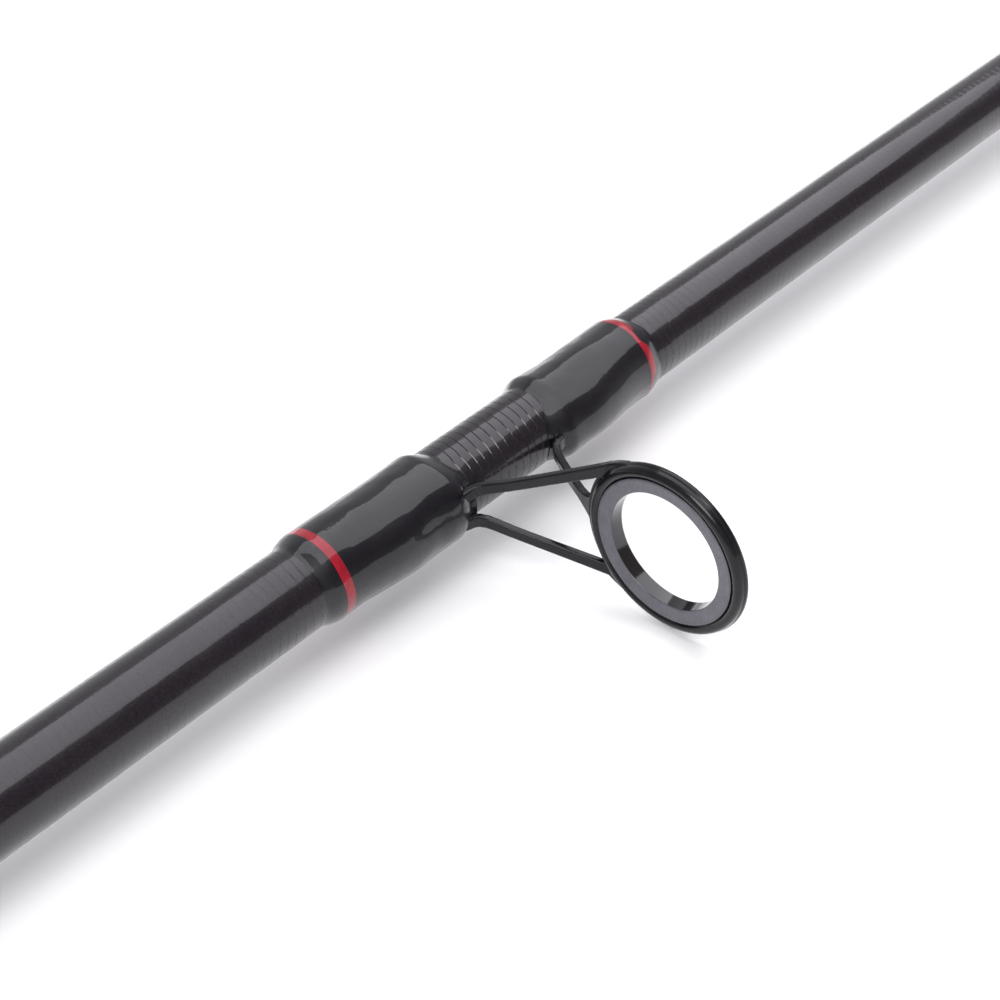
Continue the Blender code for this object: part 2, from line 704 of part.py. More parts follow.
def single_leg(name, size, side):
    """One leg from its foot to the lowest point of the ring."""
    half_thickness = size.sheet / 2 * 0.86
    half = size.leg_width / 2
    root = size.surface(side * size.foot_start) + size.foot_thickness * 0.5
    start = Vector((side * size.foot_start, root, 0.0))
    rim = (size.ring + size.outer) / 2 + FIT_GAP
    finish = Vector((side * 0.15 * size.sheet, size.height - rim, 0.0))
    under = start + Vector((side * size.leg_width * 0.25, -0.1 * size.foot_thickness, 0.0))
    bulge = Vector((side * 0.8 * size.sheet, 0.0, 0.0))
    path = [under, start.lerp(finish, 0.06), start.lerp(finish, 0.4) + bulge,
            start.lerp(finish, 0.75) + bulge * 0.5, finish]
    widths = [half * 0.95, half, half, half * 1.25, half * 3.0]
    return strip(name, path, widths, half_thickness)


def in_guide_frame(obj, height):
    """Settle a turned ring about the X axis at the given height over the blank's axis."""
    made = to_mesh(obj)
    made.data.transform(Matrix.Translation((0.0, height, 0.0)))
    return made


def make_guide_frame(name, size, feet, sides):
    """Ring, legs and feet joined into one stamped frame."""
    frame = in_guide_frame(turned(name, frame_ring_profile(size), sides), size.height)
    pair_side = -1 if feet == 2 else 1
    wide = size.leg_spread + size.leg_width * 0.62
    parts = leg_pair(name + "_leg", size, pair_side)
    toe = size.leg_width * 0.55
    parts.append(loft(name + "_pair_foot", foot_sections(size, pair_side, wide, toe, 0.0)))
    if feet == 2:
        parts.append(single_leg(name + "_single_leg", size, 1))
        narrow = size.leg_width * 0.9
        parts.append(loft(name + "_single_foot", foot_sections(size, 1, narrow, toe, 0.0)))
    place_guide(frame, size.station)
    for part in parts:
        place_guide(part, size.station)
        boolean(frame, part, "UNION")
    paint(frame, "frame_black")


def make_guide_insert(name, size, sides):
    """The smooth ring that the line runs through, seated in the frame's collar."""
    face = size.ring - size.bore
    profile = [(size.back, size.bore + 0.3 * face), (size.back - 0.3 * face, size.ring)]
    profile += [(-size.front, size.ring), (-size.front, size.bore + 0.15 * face)]
    profile += [(-size.front + 0.1 * face, size.bore), (size.back, size.bore)]
    insert = in_guide_frame(turned(name, profile, sides), size.height)
    place_guide(insert, size.station)
    paint(insert, "ring_grey")


def make_guide_wrap(name, size, side, half_start, sides, band):
    """The wrap over one foot, from beyond its toe to just short of its legs."""
    toe = size.leg_width * 0.55
    channel = loft(name + "_channel", foot_sections(size, side, half_start, toe, THREAD_GAP))
    place_guide(channel, size.station)
    outer_end = size.station + side * size.wrap_reach(side)
    inner_end = size.station + side * (size.foot_start + 0.6 * size.leg_width)
    width = half_start + 1.2 * MM
    from_end = REAR_BAND_FROM_END if side < 0 else FRONT_BAND_FROM_END
    groove = from_end if band else None
    make_wrap(name, outer_end, inner_end, size.hump, width, sides, [channel], groove)
    if band:
        make_band(name.replace("_wrap", "_trim_band"), outer_end - side * from_end, sides)


def make_guides():
    for name, place, ring_share, height_share, feet, sides in GUIDES:
        ring = STRIPPER_RING * ring_share
        size = GuideSizes(ROD_LENGTH * place, ring, STRIPPER_HEIGHT * height_share)
        make_guide_frame(name + "_frame", size, feet, sides)
        make_guide_insert(name + "_ring", size, sides)
        wide = size.leg_spread + size.leg_width * 0.62
        if feet == 2:
            band = name == "stripper_guide"
            make_guide_wrap(name + "_rear_wrap", size, -1, wide, BLANK_SIDES, band)
            narrow = size.leg_width * 0.9
            make_guide_wrap(name + "_front_wrap", size, 1, narrow, BLANK_SIDES, band)
        else:
            make_guide_wrap(name + "_wrap", size, 1, wide, BLANK_SIDES, False)


def make_ferrule_wraps():
    """Thread that binds the ferrule's mouth, and the same just below it on the butt."""
    mouth = FERRULE_MOUTH + FERRULE_WRAP_INSET
    make_wrap("ferrule_front_wrap", mouth + FERRULE_WRAP_LENGTH, mouth, 0.0, 1.0, BLANK_SIDES, [])
    below = FERRULE_MOUTH - FERRULE_WRAP_INSET
    make_wrap("ferrule_rear_wrap", below - FERRULE_WRAP_LENGTH, below, 0.0, 1.0, BLANK_SIDES, [])


def make_tip_top():
    """A tube over the blank's tip that carries the last ring on two short legs."""
    size = GuideSizes(TIP_END, TIP_TOP_RING, 0.0)
    tube_bore = blank_radius(TIP_END - TIP_TOP_TUBE) + THREAD_GAP
    tube_radius = tube_bore + TIP_TOP_WALL
    size.height = tube_radius + size.outer * 0.78
    ring_x = TIP_END + 3.2 * MM
    tube_start = TIP_END - TIP_TOP_TUBE
    nose = TIP_END + 1.8 * MM
    profile = [(nose, 0.0), (nose - 0.4 * MM, tube_radius * 0.7), (TIP_END, tube_radius)]
    profile += [(tube_start, tube_radius), (tube_start, tube_bore)]
    profile += [(TIP_END + FIT_GAP, tube_bore), (TIP_END + FIT_GAP, 0.0)]
    frame = to_mesh(turned("tip_top_frame", profile, TIP_TOP_SIDES))
    ring_shape = turned("tip_top_rim", frame_ring_profile(size), TIP_TOP_SIDES)
    rim = in_guide_frame(ring_shape, size.height)
    place_guide(rim, ring_x)
    boolean(frame, rim, "UNION")
    middle = (size.ring + size.outer) / 2 + FIT_GAP
    reach = ring_x - (tube_start + 3 * MM)
    for hand, word in ((1, "left"), (-1, "right")):
        side = tube_radius + 0.2 * MM
        start = Vector((-reach, side * 0.85, hand * side * 0.6))
        end = Vector((0.0, size.height - middle * 0.35, hand * middle * 0.94))
        path = [start, start.lerp(end, 0.5), end]
        half = size.leg_width / 2
        leg = strip("tip_top_leg_" + word, path, [half] * 3, size.sheet * 0.4)
        place_guide(leg, ring_x)
        boolean(frame, leg, "UNION")
    tail = strip("tip_top_saddle", [(-2.2 * MM, tube_radius * 0.5, 0.0),
                                    (0.0, size.height - middle, 0.0)],
                 [size.leg_width * 0.5, size.leg_width * 0.9], size.sheet * 0.4)
    place_guide(tail, ring_x)
    boolean(frame, tail, "UNION")
    paint(frame, "frame_black")
    size.station = ring_x
    make_guide_insert("tip_top_ring", size, TIP_TOP_SIDES)
    end = tube_start - FIT_GAP
    make_wrap("tip_top_wrap", end - TIP_TOP_WRAP, end, 0.0, 1.0, BLANK_SIDES, [])


def make_handle():
    make_butt_cap()
    grip("rear_grip", REAR_GRIP_START, REAR_GRIP_END, rear_grip_radius, "foam")
    make_trim_ring()
    make_arbors()
    make_seat_body()
    make_hood("sliding_hood", HOOD_START, 1.0, "gunmetal")
    make_hood("fixed_hood", SEAT_END, -1.0, "gunmetal")
    make_lock_nut()
    grip("fore_grip", FORE_GRIP_START, FORE_GRIP_END, fore_grip_radius, "foam")
    make_winding_check()
    make_hook_keeper()


make_butt_blank()
make_tip_blank()
make_handle()
make_guides()
make_ferrule_wraps()
make_tip_top()
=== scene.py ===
"""Visual model of the two-piece spinning rod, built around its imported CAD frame."""
from math import cos, exp, hypot, pi, radians, sin, tau

import bmesh
import bpy
from mathutils import Matrix, Vector, noise


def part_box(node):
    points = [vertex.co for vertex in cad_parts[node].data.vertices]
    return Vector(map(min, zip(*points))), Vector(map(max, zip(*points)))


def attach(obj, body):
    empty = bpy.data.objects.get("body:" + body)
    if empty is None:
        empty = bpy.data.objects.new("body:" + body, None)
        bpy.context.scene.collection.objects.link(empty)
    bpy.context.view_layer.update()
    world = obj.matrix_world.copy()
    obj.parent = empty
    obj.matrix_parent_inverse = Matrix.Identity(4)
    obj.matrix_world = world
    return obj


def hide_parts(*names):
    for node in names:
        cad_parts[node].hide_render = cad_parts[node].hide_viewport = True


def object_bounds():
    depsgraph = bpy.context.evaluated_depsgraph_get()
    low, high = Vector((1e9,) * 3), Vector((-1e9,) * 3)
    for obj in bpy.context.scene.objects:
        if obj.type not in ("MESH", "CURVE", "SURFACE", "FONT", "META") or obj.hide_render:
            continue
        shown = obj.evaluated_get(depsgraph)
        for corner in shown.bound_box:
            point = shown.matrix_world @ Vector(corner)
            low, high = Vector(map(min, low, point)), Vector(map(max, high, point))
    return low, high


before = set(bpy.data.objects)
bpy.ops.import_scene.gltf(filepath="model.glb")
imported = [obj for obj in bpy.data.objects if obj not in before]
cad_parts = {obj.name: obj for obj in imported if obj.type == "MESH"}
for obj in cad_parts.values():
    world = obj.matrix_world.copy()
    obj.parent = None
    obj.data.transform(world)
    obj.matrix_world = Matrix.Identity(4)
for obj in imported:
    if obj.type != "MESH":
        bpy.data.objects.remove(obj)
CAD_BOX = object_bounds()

MM = 0.001
SMALL = 1e-9

# Camera: where it looks, counted from the stripper ring's place on the blank's axis
LOOK_OFFSET = Vector((-6.44, -9.61, 0.0)) * MM
CAMERA_DISTANCE = 0.31955
CAMERA_AZIMUTH = radians(-44.01)
CAMERA_ELEVATION = radians(37.78)
CAMERA_ROLL = radians(5.54)
CAMERA_LENS = 75.26

# Fine sizes that the solids leave out
THREAD_HEIGHT = 0.32 * MM
EPOXY_HEIGHT = 0.58 * MM
EPOXY_SKIRT = 0.02 * MM
FOOT_HUMP = 1.15 * MM
BAND_WIDTH = 1.6 * MM
BAND_PROUD = 0.012 * MM
BAND_DEPTH = 0.2 * MM
TAPE_PITCH = 1.62              # of the carbon tape's spiral, in mm
TUBE_EDGE = 0.2 * MM
SOCKET_GAP = 0.15 * MM
SOCKET_RELIEF = 55 * MM        # past the ferrule, where the tip's bore narrows
TIP_WALL = 0.6 * MM
SEAT_THREAD_PITCH = 3.0 * MM
SEAT_THREAD_DEPTH = 0.9 * MM
SEAT_THREAD_RUN = 43 * MM
HOOD_POCKET_FLOOR = 8 * MM
HOOD_HALF_ANGLE = radians(46)
NUT_RIBS = 12
NUT_FLUTE = 0.85 * MM

# Guides: sizes for the first guide's ring, which the others scale from
BASE_RING = 12.4 * MM
BASE_SHEET = 1.3 * MM
BASE_LEG = 1.9 * MM
BASE_SPREAD = 2.6 * MM
BASE_FOOT_START = 9.6 * MM
BASE_FOOT_REACH = 33 * MM
BASE_SKIRT = 2.2 * MM
SLIM_POWER = 0.6               # how thickness follows a ring's size
LEG_ANGLE = radians(40)
GUSSET_TURN = radians(21)
WEB_HALF_TURN = radians(46)
WEB_FADE = radians(16)

# Meshes and materials
PER_METRE = 1000.0             # millimetres
FINE_SIDES = 128
PLAIN_SIDES = 72
SMOOTH_ANGLE = 35.0
COAT_IOR = 1.34

# Studio
FLOOR_HALF = 40.0
SOFTBOX_AHEAD = 0.575
SOFTBOX_HEIGHT = 1.0
KEY_PLACE = Vector((-0.72, -0.42, 0.86))
WORLD_SIDES = ((0.15, 0.118, 0.108), (0.27, 0.25, 0.27), (0.80, 0.80, 0.82))
WORLD_FILL = (0.45, 0.45, 0.47)


# ---- Reading the frame ----------------------------------------------------------------

def points_of(node):
    return [v.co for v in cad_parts[node].data.vertices]


def low_high(node):
    low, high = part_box(node)
    return Vector(low), Vector(high)


def outline(node, pick):
    """The node's radius about the X axis at each of its stations, as (x, radius) pairs."""
    rows = {}
    for point in points_of(node):
        key = round(point.x, 5)
        rows.setdefault(key, []).append(hypot(point.y, point.z))
    return sorted((x, pick(radii)) for x, radii in rows.items())


def reader(pairs):
    """A function that reads a radius off (x, radius) pairs, straight between them."""
    def read(x):
        if x <= pairs[0][0]:
            return pairs[0][1]
        for (x0, r0), (x1, r1) in zip(pairs, pairs[1:]):
            if x <= x1:
                return r0 + (r1 - r0) * (x - x0) / max(x1 - x0, SMALL)
        return pairs[-1][1]
    return read


BUTT_OUTSIDE = outline("butt_blank", max)
TIP_OUTSIDE = outline("tip_blank", max)
read_butt = reader(BUTT_OUTSIDE)
read_tip = reader(TIP_OUTSIDE)
FERRULE_MOUTH = TIP_OUTSIDE[0][0]
STRIPPER_X = sum(corner.x for corner in low_high("stripper_guide_ring")) / 2


def blank_radius(x):
    return read_butt(x) if x < FERRULE_MOUTH else read_tip(x)


# ---- Mesh helpers ---------------------------------------------------------------------

def blend_step(value):
    value = min(max(value, 0.0), 1.0)
    return value * value * (3.0 - 2.0 * value)


def make_object(name, vertices, faces, smooth_angle=SMOOTH_ANGLE):
    mesh = bpy.data.meshes.new(name)
    mesh.from_pydata([tuple(v) for v in vertices], [], faces)
    mesh.validate()
    build = bmesh.new()
    build.from_mesh(mesh)
    bmesh.ops.remove_doubles(build, verts=build.verts, dist=1e-7)
    bmesh.ops.recalc_face_normals(build, faces=build.faces)
    build.to_mesh(mesh)
    build.free()
    mesh.shade_smooth()
    mesh.set_sharp_from_angle(angle=radians(smooth_angle))
    obj = bpy.data.objects.new(name, mesh)
    bpy.context.scene.collection.objects.link(obj)
    return obj


def polar_point(x, radius, turn):
    """A point about the rod's axis: turn is 0 on the guides' side and grows towards +Z."""
    return (x, -radius * cos(turn), radius * sin(turn))


def ring_faces(rows, sides, closed=False):
    """Quads between rings of points. closed joins the last ring to the first; otherwise
    each end is capped.
    """
    faces = []
    for r in range(rows if closed else rows - 1):
        after = (r + 1) % rows
        for i in range(sides):
            j = (i + 1) % sides
            faces.append((r * sides + i, r * sides + j, after * sides + j, after * sides + i))
    if not closed:
        faces.append(tuple(reversed(range(sides))))
        faces.append(tuple(range((rows - 1) * sides, rows * sides)))
    return faces


def shell(name, rows, sides, closed=True, smooth_angle=SMOOTH_ANGLE, centre=(0.0, 0.0)):
    """A body of rings. rows are functions from turn to (x, radius) and run round a section."""
    vertices = []
    for row in rows:
        for i in range(sides):
            turn = tau * i / sides - pi
            x, radius = row(turn)
            point = polar_point(x, radius, turn)
            vertices.append((point[0], point[1] + centre[0], point[2] + centre[1]))
    return make_object(name, vertices, ring_faces(len(rows), sides, closed), smooth_angle)


def fixed_row(x, radius):
    return lambda turn: (x, radius)


def revolve(name, profile, sides=PLAIN_SIDES, closed=True, smooth_angle=SMOOTH_ANGLE, centre=(0.0, 0.0)):
    return shell(name, [fixed_row(x, r) for x, r in profile], sides, closed, smooth_angle, centre)


def rounded(profile, radius, steps=4):
    """Round each corner of a closed profile by up to radius."""
    result = []
    count = len(profile)
    for i in range(count):
        before = Vector(profile[i - 1])
        here = Vector(profile[i])
        after = Vector(profile[(i + 1) % count])
        reach = min(radius, 0.45 * (before - here).length, 0.45 * (after - here).length)
        start = here + (before - here).normalized() * reach
        end = here + (after - here).normalized() * reach
        for k in range(steps + 1):
            t = k / steps
            point = start * (1 - t) ** 2 + here * 2 * t * (1 - t) + end * t * t
            result.append((point.x, point.y))
    return result


def between(start, end, count):
    return [start + (end - start) * i / count for i in range(count + 1)]


def evaluated_copy(obj):
    """Apply the object's modifiers."""
    bpy.context.view_layer.update()
    graph = bpy.context.evaluated_depsgraph_get()
    mesh = bpy.data.meshes.new_from_object(obj.evaluated_get(graph))
    obj.modifiers.clear()
    obj.data = mesh
    return obj


def finish_piece(obj, material, body, slot, *nodes):
    obj.data.materials.clear()
    obj.data.materials.append(material)
    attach(obj, body)
    if nodes:
        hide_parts(*nodes)
    return obj


# ---- Materials ------------------------------------------------------------------------

class Nodes:
    """Short calls for the nodes of a material or a world."""

    def __init__(self, tree, coordinates):
        self.tree = tree
        self.place = tree.nodes.new("ShaderNodeTexCoord").outputs[coordinates]

    def put(self, socket, value):
        if hasattr(value, "is_linked"):
            self.tree.links.new(value, socket)
        else:
            socket.default_value = value

    def math(self, operation, *values):
        node = self.tree.nodes.new("ShaderNodeMath")
        node.operation = operation
        for socket, value in zip(node.inputs, values):
            self.put(socket, value)
        return node.outputs[0]

    def parts(self, vector):
        node = self.tree.nodes.new("ShaderNodeSeparateXYZ")
        self.put(node.inputs[0], vector)
        return node.outputs

    def ramp(self, fac, low, high, low_value=0.0, high_value=1.0):
        node = self.tree.nodes.new("ShaderNodeMapRange")
        node.inputs["From Min"].default_value = low
        node.inputs["From Max"].default_value = high
        node.inputs["To Min"].default_value = low_value
        node.inputs["To Max"].default_value = high_value
        self.put(node.inputs["Value"], fac)
        return node.outputs[0]

    def mix(self, fac, first, second):
        node = self.tree.nodes.new("ShaderNodeMix")
        node.data_type = "RGBA"
        self.put(node.inputs["Factor"], fac)
        for index, value in ((6, first), (7, second)):
            if hasattr(value, "is_linked"):
                self.tree.links.new(value, node.inputs[index])
            else:
                node.inputs[index].default_value = (*value, 1.0)
        return node.outputs[2]


class Look(Nodes):
    """A Principled material."""

    def __init__(self, name, colour, roughness, metallic=0.0, coat=0.0, coat_roughness=0.03):
        self.material = bpy.data.materials.new(name)
        self.material.use_nodes = True
        super().__init__(self.material.node_tree, "Object")
        self.shader = self.tree.nodes["Principled BSDF"]
        values = {"Base Color": (*colour, 1.0), "Roughness": roughness, "Metallic": metallic,
                  "Coat Weight": coat, "Coat Roughness": coat_roughness, "Coat IOR": COAT_IOR}
        for socket, value in values.items():
            self.set(socket, value)

    def scaled_place(self, x, y, z):
        node = self.tree.nodes.new("ShaderNodeMapping")
        node.inputs["Scale"].default_value = (x, y, z)
        self.put(node.inputs["Vector"], self.place)
        return node.outputs[0]

    def place_in_mm(self):
        return self.scaled_place(PER_METRE, PER_METRE, PER_METRE)

    def noise(self, vector, scale, detail=3.0, roughness=0.5):
        node = self.tree.nodes.new("ShaderNodeTexNoise")
        self.put(node.inputs["Vector"], vector)
        node.inputs["Scale"].default_value = scale
        node.inputs["Detail"].default_value = detail
        node.inputs["Roughness"].default_value = roughness
        return node.outputs["Fac"]

    def cells(self, vector, scale):
        node = self.tree.nodes.new("ShaderNodeTexVoronoi")
        self.put(node.inputs["Vector"], vector)
        node.inputs["Scale"].default_value = scale
        return node.outputs["Distance"]

    def combine(self, x, y, z):
        node = self.tree.nodes.new("ShaderNodeCombineXYZ")
        for socket, value in zip(node.inputs, (x, y, z)):
            self.put(socket, value)
        return node.outputs[0]

    def bump(self, height, distance, under=None):
        node = self.tree.nodes.new("ShaderNodeBump")
        node.inputs["Distance"].default_value = distance
        self.put(node.inputs["Height"], height)
        if under is not None:
            self.put(node.inputs["Normal"], under)
        return node.outputs[0]

    def along(self):
        """Millimetres along the rod."""
        return self.math("MULTIPLY", self.parts(self.place)[0], PER_METRE)

    def angle(self):
        """Radians about the rod's axis."""
        parts = self.parts(self.place)
        return self.math("ARCTAN2", parts[2], parts[1])

    def round_place(self, x, along, around):
        """Noise coordinates that stretch along or around the rod and close on a turn."""
        angle = self.angle()
        first = self.math("MULTIPLY", self.math("COSINE", angle), around)
        second = self.math("MULTIPLY", self.math("SINE", angle), around)
        return self.combine(self.math("MULTIPLY", x, along), first, second)

    def set(self, socket, value):
        self.put(self.shader.inputs[socket], value)


def carbon_look():
    """Unsanded carbon: a spiral of tape marks under gloss, with a faint weave, and painted shade that darkens
    each lap's groove.
    """
    look = Look("carbon_blank", (0.008, 0.008, 0.009), 0.30, 0.0, 0.9, 0.035)
    x = look.along()
    turn = look.math("DIVIDE", look.angle(), tau)
    drift = look.noise(look.round_place(x, 0.10, 0.9), 1.0, 2.0)
    wander = look.noise(look.round_place(x, 0.55, 2.2), 1.0, 3.0)
    spiral = look.math("ADD", look.math("DIVIDE", x, TAPE_PITCH), turn)
    spiral = look.math("ADD", spiral, look.math("MULTIPLY", drift, 0.7))
    spiral = look.math("ADD", spiral, look.math("MULTIPLY", wander, 0.22))
    saw = look.math("FRACT", spiral)
    lap = look.math("FLOOR", spiral)
    edge = look.ramp(saw, 0.0, 0.12, 1.0, 0.0)
    tilt_place = look.combine(look.math("MULTIPLY", lap, 3.7), look.math("MULTIPLY", turn, 9.0), 0.0)
    tilt = look.noise(tilt_place, 1.0, 1.0)
    height = look.math("ADD", saw, look.math("MULTIPLY", tilt, 0.9))
    height = look.math("SUBTRACT", height, look.math("MULTIPLY", edge, 0.8))
    from_guide = look.math("ABSOLUTE", look.math("SUBTRACT", x, STRIPPER_X * PER_METRE))
    near = look.ramp(from_guide, 16.0, 60.0, 1.0, 0.16)
    strength = look.math("MULTIPLY", look.ramp(drift, 0.35, 0.65, 0.6, 1.0), near)
    height = look.math("MULTIPLY", height, strength)
    # painted shade: the grooves at the laps' edges get a near-black base colour, strongest near the stripper
    # guide
    painted_groove_shade = look.math("MULTIPLY", look.ramp(saw, 0.0, 0.07, 1.0, 0.0), strength)
    weave_place = look.round_place(x, 3.1, 21.0)
    weave = look.cells(weave_place, 1.0)
    weave_fine = look.noise(look.round_place(x, 0.25, 40.0), 1.0, 2.0)
    first = look.bump(height, 0.15 * MM)
    second = look.bump(weave_fine, 0.006 * MM, first)
    third = look.bump(weave, 0.004 * MM, second)
    look.set("Normal", third)
    look.set("Coat Normal", look.bump(weave_fine, 0.003 * MM, first))
    speckle = look.ramp(weave, 0.1, 0.7)
    tone = look.mix(speckle, (0.0045, 0.0035, 0.0050), (0.013, 0.0105, 0.0140))
    # the near-black mix is painted shade in the tape's grooves, not a colour of the carbon
    look.set("Base Color", look.mix(painted_groove_shade, tone, (0.001, 0.001, 0.001)))
    look.set("Specular IOR Level", 0.25)
    look.set("Roughness", look.ramp(drift, 0.3, 0.7, 0.24, 0.36))
    return look.material


def thread_bump(look, x, pitch, depth):
    """Fine laps of thread, as they show under epoxy."""
    lap = look.math("SINE", look.math("MULTIPLY", x, tau / pitch))
    rough = look.noise(look.round_place(x, 2.0, 9.0), 1.0, 3.0)
    return look.bump(look.math("ADD", lap, look.math("MULTIPLY", rough, 1.4)), depth)


def epoxy_waves(look, x, depth):
    """The slow unevenness of brushed epoxy, longer along the rod than around it."""
    slow = look.noise(look.round_place(x, 0.09, 1.6), 1.0, 1.5)
    quick = look.noise(look.round_place(x, 0.5, 3.5), 1.0, 2.0)
    height = look.math("ADD", slow, look.math("MULTIPLY", quick, 0.14))
    return look.bump(height, depth)


def wrap_look(name, colour, dark):
    look = Look(name, colour, 0.38, 0.0, 1.0, 0.018)
    look.set("Specular IOR Level", 0.2)
    x = look.along()
    look.set("Normal", thread_bump(look, x, 0.19, 0.012 * MM))
    look.set("Coat Normal", epoxy_waves(look, x, 0.34 * MM))
    patch = look.noise(look.round_place(x, 0.8, 5.0), 1.0, 4.0)
    strand = look.math("SINE", look.math("MULTIPLY", x, tau / 0.38))
    fac = look.math("ADD", look.math("MULTIPLY", strand, 0.2), patch)
    look.set("Base Color", look.mix(look.ramp(fac, 0.3, 0.8), dark, colour))
    return look.material


def painted_look():
    """Black stamped metal under satin gloss."""
    look = Look("guide_frame", (0.006, 0.006, 0.008), 0.26, 0.0, 0.6, 0.12)
    look.set("Specular IOR Level", 0.12)
    orange_peel = look.noise(look.place_in_mm(), 2.2, 2.0)
    grain = look.noise(look.place_in_mm(), 9.0, 3.0)
    first = look.bump(orange_peel, 0.010 * MM)
    look.set("Normal", look.bump(grain, 0.0025 * MM, first))
    look.set("Coat Normal", first)
    worn = look.noise(look.place_in_mm(), 0.35, 5.0)
    look.set("Base Color", look.mix(look.ramp(worn, 0.35, 0.7), (0.004, 0.004, 0.005), (0.008, 0.008, 0.010)))
    look.set("Roughness", look.ramp(worn, 0.3, 0.7, 0.20, 0.33))
    return look.material


def ceramic_look():
    """Dark ceramic, polished in the bore and satin on its face. The faces that look along the rod get a
    lighter blue-grey base colour, which is painted reflection of the light; the bore and shoulder stay near
    black.
    """
    look = Look("guide_ring", (0.085, 0.083, 0.100), 0.24, 0.0, 0.3, 0.06)
    normal = look.tree.nodes.new("ShaderNodeNewGeometry").outputs["Normal"]
    facing = look.ramp(look.math("ABSOLUTE", look.parts(normal)[0]), 0.25, 0.60)
    grain = look.noise(look.place_in_mm(), 7.0, 4.0)
    cloud = look.noise(look.place_in_mm(), 0.5, 3.0)
    look.set("Normal", look.bump(grain, 0.0022 * MM))
    # painted reflection: the faces that look along the rod get a lighter, clouded blue-grey in place of the
    # ring's near-black
    painted_face_sheen = look.mix(look.ramp(cloud, 0.3, 0.7), (0.058, 0.056, 0.070), (0.082, 0.079, 0.097))
    look.set("Base Color", look.mix(facing, (0.012, 0.011, 0.012), painted_face_sheen))
    look.set("Roughness", look.math("MULTIPLY", look.ramp(facing, 0.0, 1.0, 0.35, 1.0),
                                    look.ramp(grain, 0.3, 0.7, 0.24, 0.36)))
    return look.material


def foam_look():
    """Fine closed-cell foam, sanded."""
    look = Look("grip_foam", (0.018, 0.018, 0.019), 0.82)
    spots = look.cells(look.place_in_mm(), 2.6)
    fine = look.noise(look.place_in_mm(), 3.0, 6.0, 0.7)
    sanded = look.noise(look.scaled_place(260, 900, 900), 1.0, 4.0)
    first = look.bump(spots, 0.10 * MM)
    look.set("Normal", look.bump(fine, 0.06 * MM, first))
    tone = look.math("ADD", look.math("MULTIPLY", spots, 0.5), look.math("MULTIPLY", sanded, 0.6))
    spread = look.ramp(tone, 0.2, 0.75)
    look.set("Base Color", look.mix(spread, (0.011, 0.011, 0.012), (0.032, 0.032, 0.034)))
    look.set("Roughness", look.ramp(fine, 0.3, 0.7, 0.72, 0.92))
    look.set("Sheen Weight", 0.15)
    return look.material


def rubber_look():
    look = Look("rubber", (0.014, 0.014, 0.014), 0.62)
    grain = look.noise(look.place_in_mm(), 2.4, 5.0, 0.6)
    dust = look.noise(look.place_in_mm(), 0.12, 4.0)
    look.set("Normal", look.bump(grain, 0.05 * MM))
    worn = look.ramp(dust, 0.35, 0.75)
    look.set("Base Color", look.mix(worn, (0.011, 0.011, 0.011), (0.034, 0.033, 0.032)))
    look.set("Roughness", look.ramp(dust, 0.3, 0.7, 0.5, 0.74))
    return look.material


def seat_look():
    """Fibre-filled black moulding with a soft gloss."""
    look = Look("reel_seat", (0.015, 0.015, 0.017), 0.34, 0.0, 0.25, 0.15)
    fibre = look.noise(look.scaled_place(500, 2600, 2600), 1.0, 4.0, 0.6)
    skin = look.noise(look.place_in_mm(), 4.5, 3.0)
    look.set("Normal", look.bump(skin, 0.008 * MM))
    look.set("Base Color", look.mix(look.ramp(fibre, 0.4, 0.7), (0.011, 0.011, 0.012), (0.030, 0.030, 0.033)))
    look.set("Roughness", look.ramp(fibre, 0.3, 0.7, 0.28, 0.42))
    return look.material


def turned_metal_look(name, first, second, roughness):
    """Machined metal: fine turning marks about the rod's axis."""
    look = Look(name, second, roughness, 1.0, 0.2, 0.10)
    x = look.along()
    marks = look.noise(look.round_place(x, 22.0, 1.2), 1.0, 3.0)
    cloud = look.noise(look.place_in_mm(), 0.2, 3.0)
    look.set("Normal", look.bump(marks, 0.004 * MM))
    look.set("Base Color", look.mix(look.ramp(cloud, 0.3, 0.7), first, second))
    look.set("Roughness", look.ramp(marks, 0.3, 0.7, roughness - 0.06, roughness + 0.08))
    return look.material


def arbor_look():
    look = Look("arbor", (0.50, 0.45, 0.36), 0.85)
    spots = look.cells(look.place_in_mm(), 1.4)
    look.set("Normal", look.bump(spots, 0.12 * MM))
    look.set("Base Color", look.mix(look.ramp(spots, 0.1, 0.7), (0.40, 0.35, 0.27), (0.58, 0.53, 0.43)))
    return look.material


CARBON = carbon_look()
EPOXY = wrap_look("epoxy_wrap", (0.0045, 0.0040, 0.0065), (0.0020, 0.0018, 0.0035))
RED_THREAD = wrap_look("red_thread", (0.36, 0.004, 0.020), (0.17, 0.002, 0.008))
FRAME_PAINT = painted_look()
CERAMIC = ceramic_look()
FOAM = foam_look()
RUBBER = rubber_look()
SEAT = seat_look()
GUNMETAL = turned_metal_look("hood_metal", (0.070, 0.071, 0.076), (0.115, 0.116, 0.122), 0.26)
RED_METAL = turned_metal_look("red_trim", (0.34, 0.010, 0.024), (0.48, 0.016, 0.034), 0.24)
ARBOR = arbor_look()

BUTT = "butt_section"
TIP = "tip_section"


# ---- Blanks ---------------------------------------------------------------------------

def tube_outside(xs, read, end_drop):
    """A tube's outside from its high end to its low end, with both edges eased."""
    outer = [(x, read(x)) for x in reversed(xs)]
    outer[0] = (xs[-1], read(xs[-1]) - end_drop)
    outer.insert(1, (xs[-1] - end_drop, read(xs[-1])))
    outer[-1] = (xs[0], read(xs[0]) - TUBE_EDGE)
    outer.insert(-1, (xs[0] + TUBE_EDGE, read(xs[0])))
    return outer


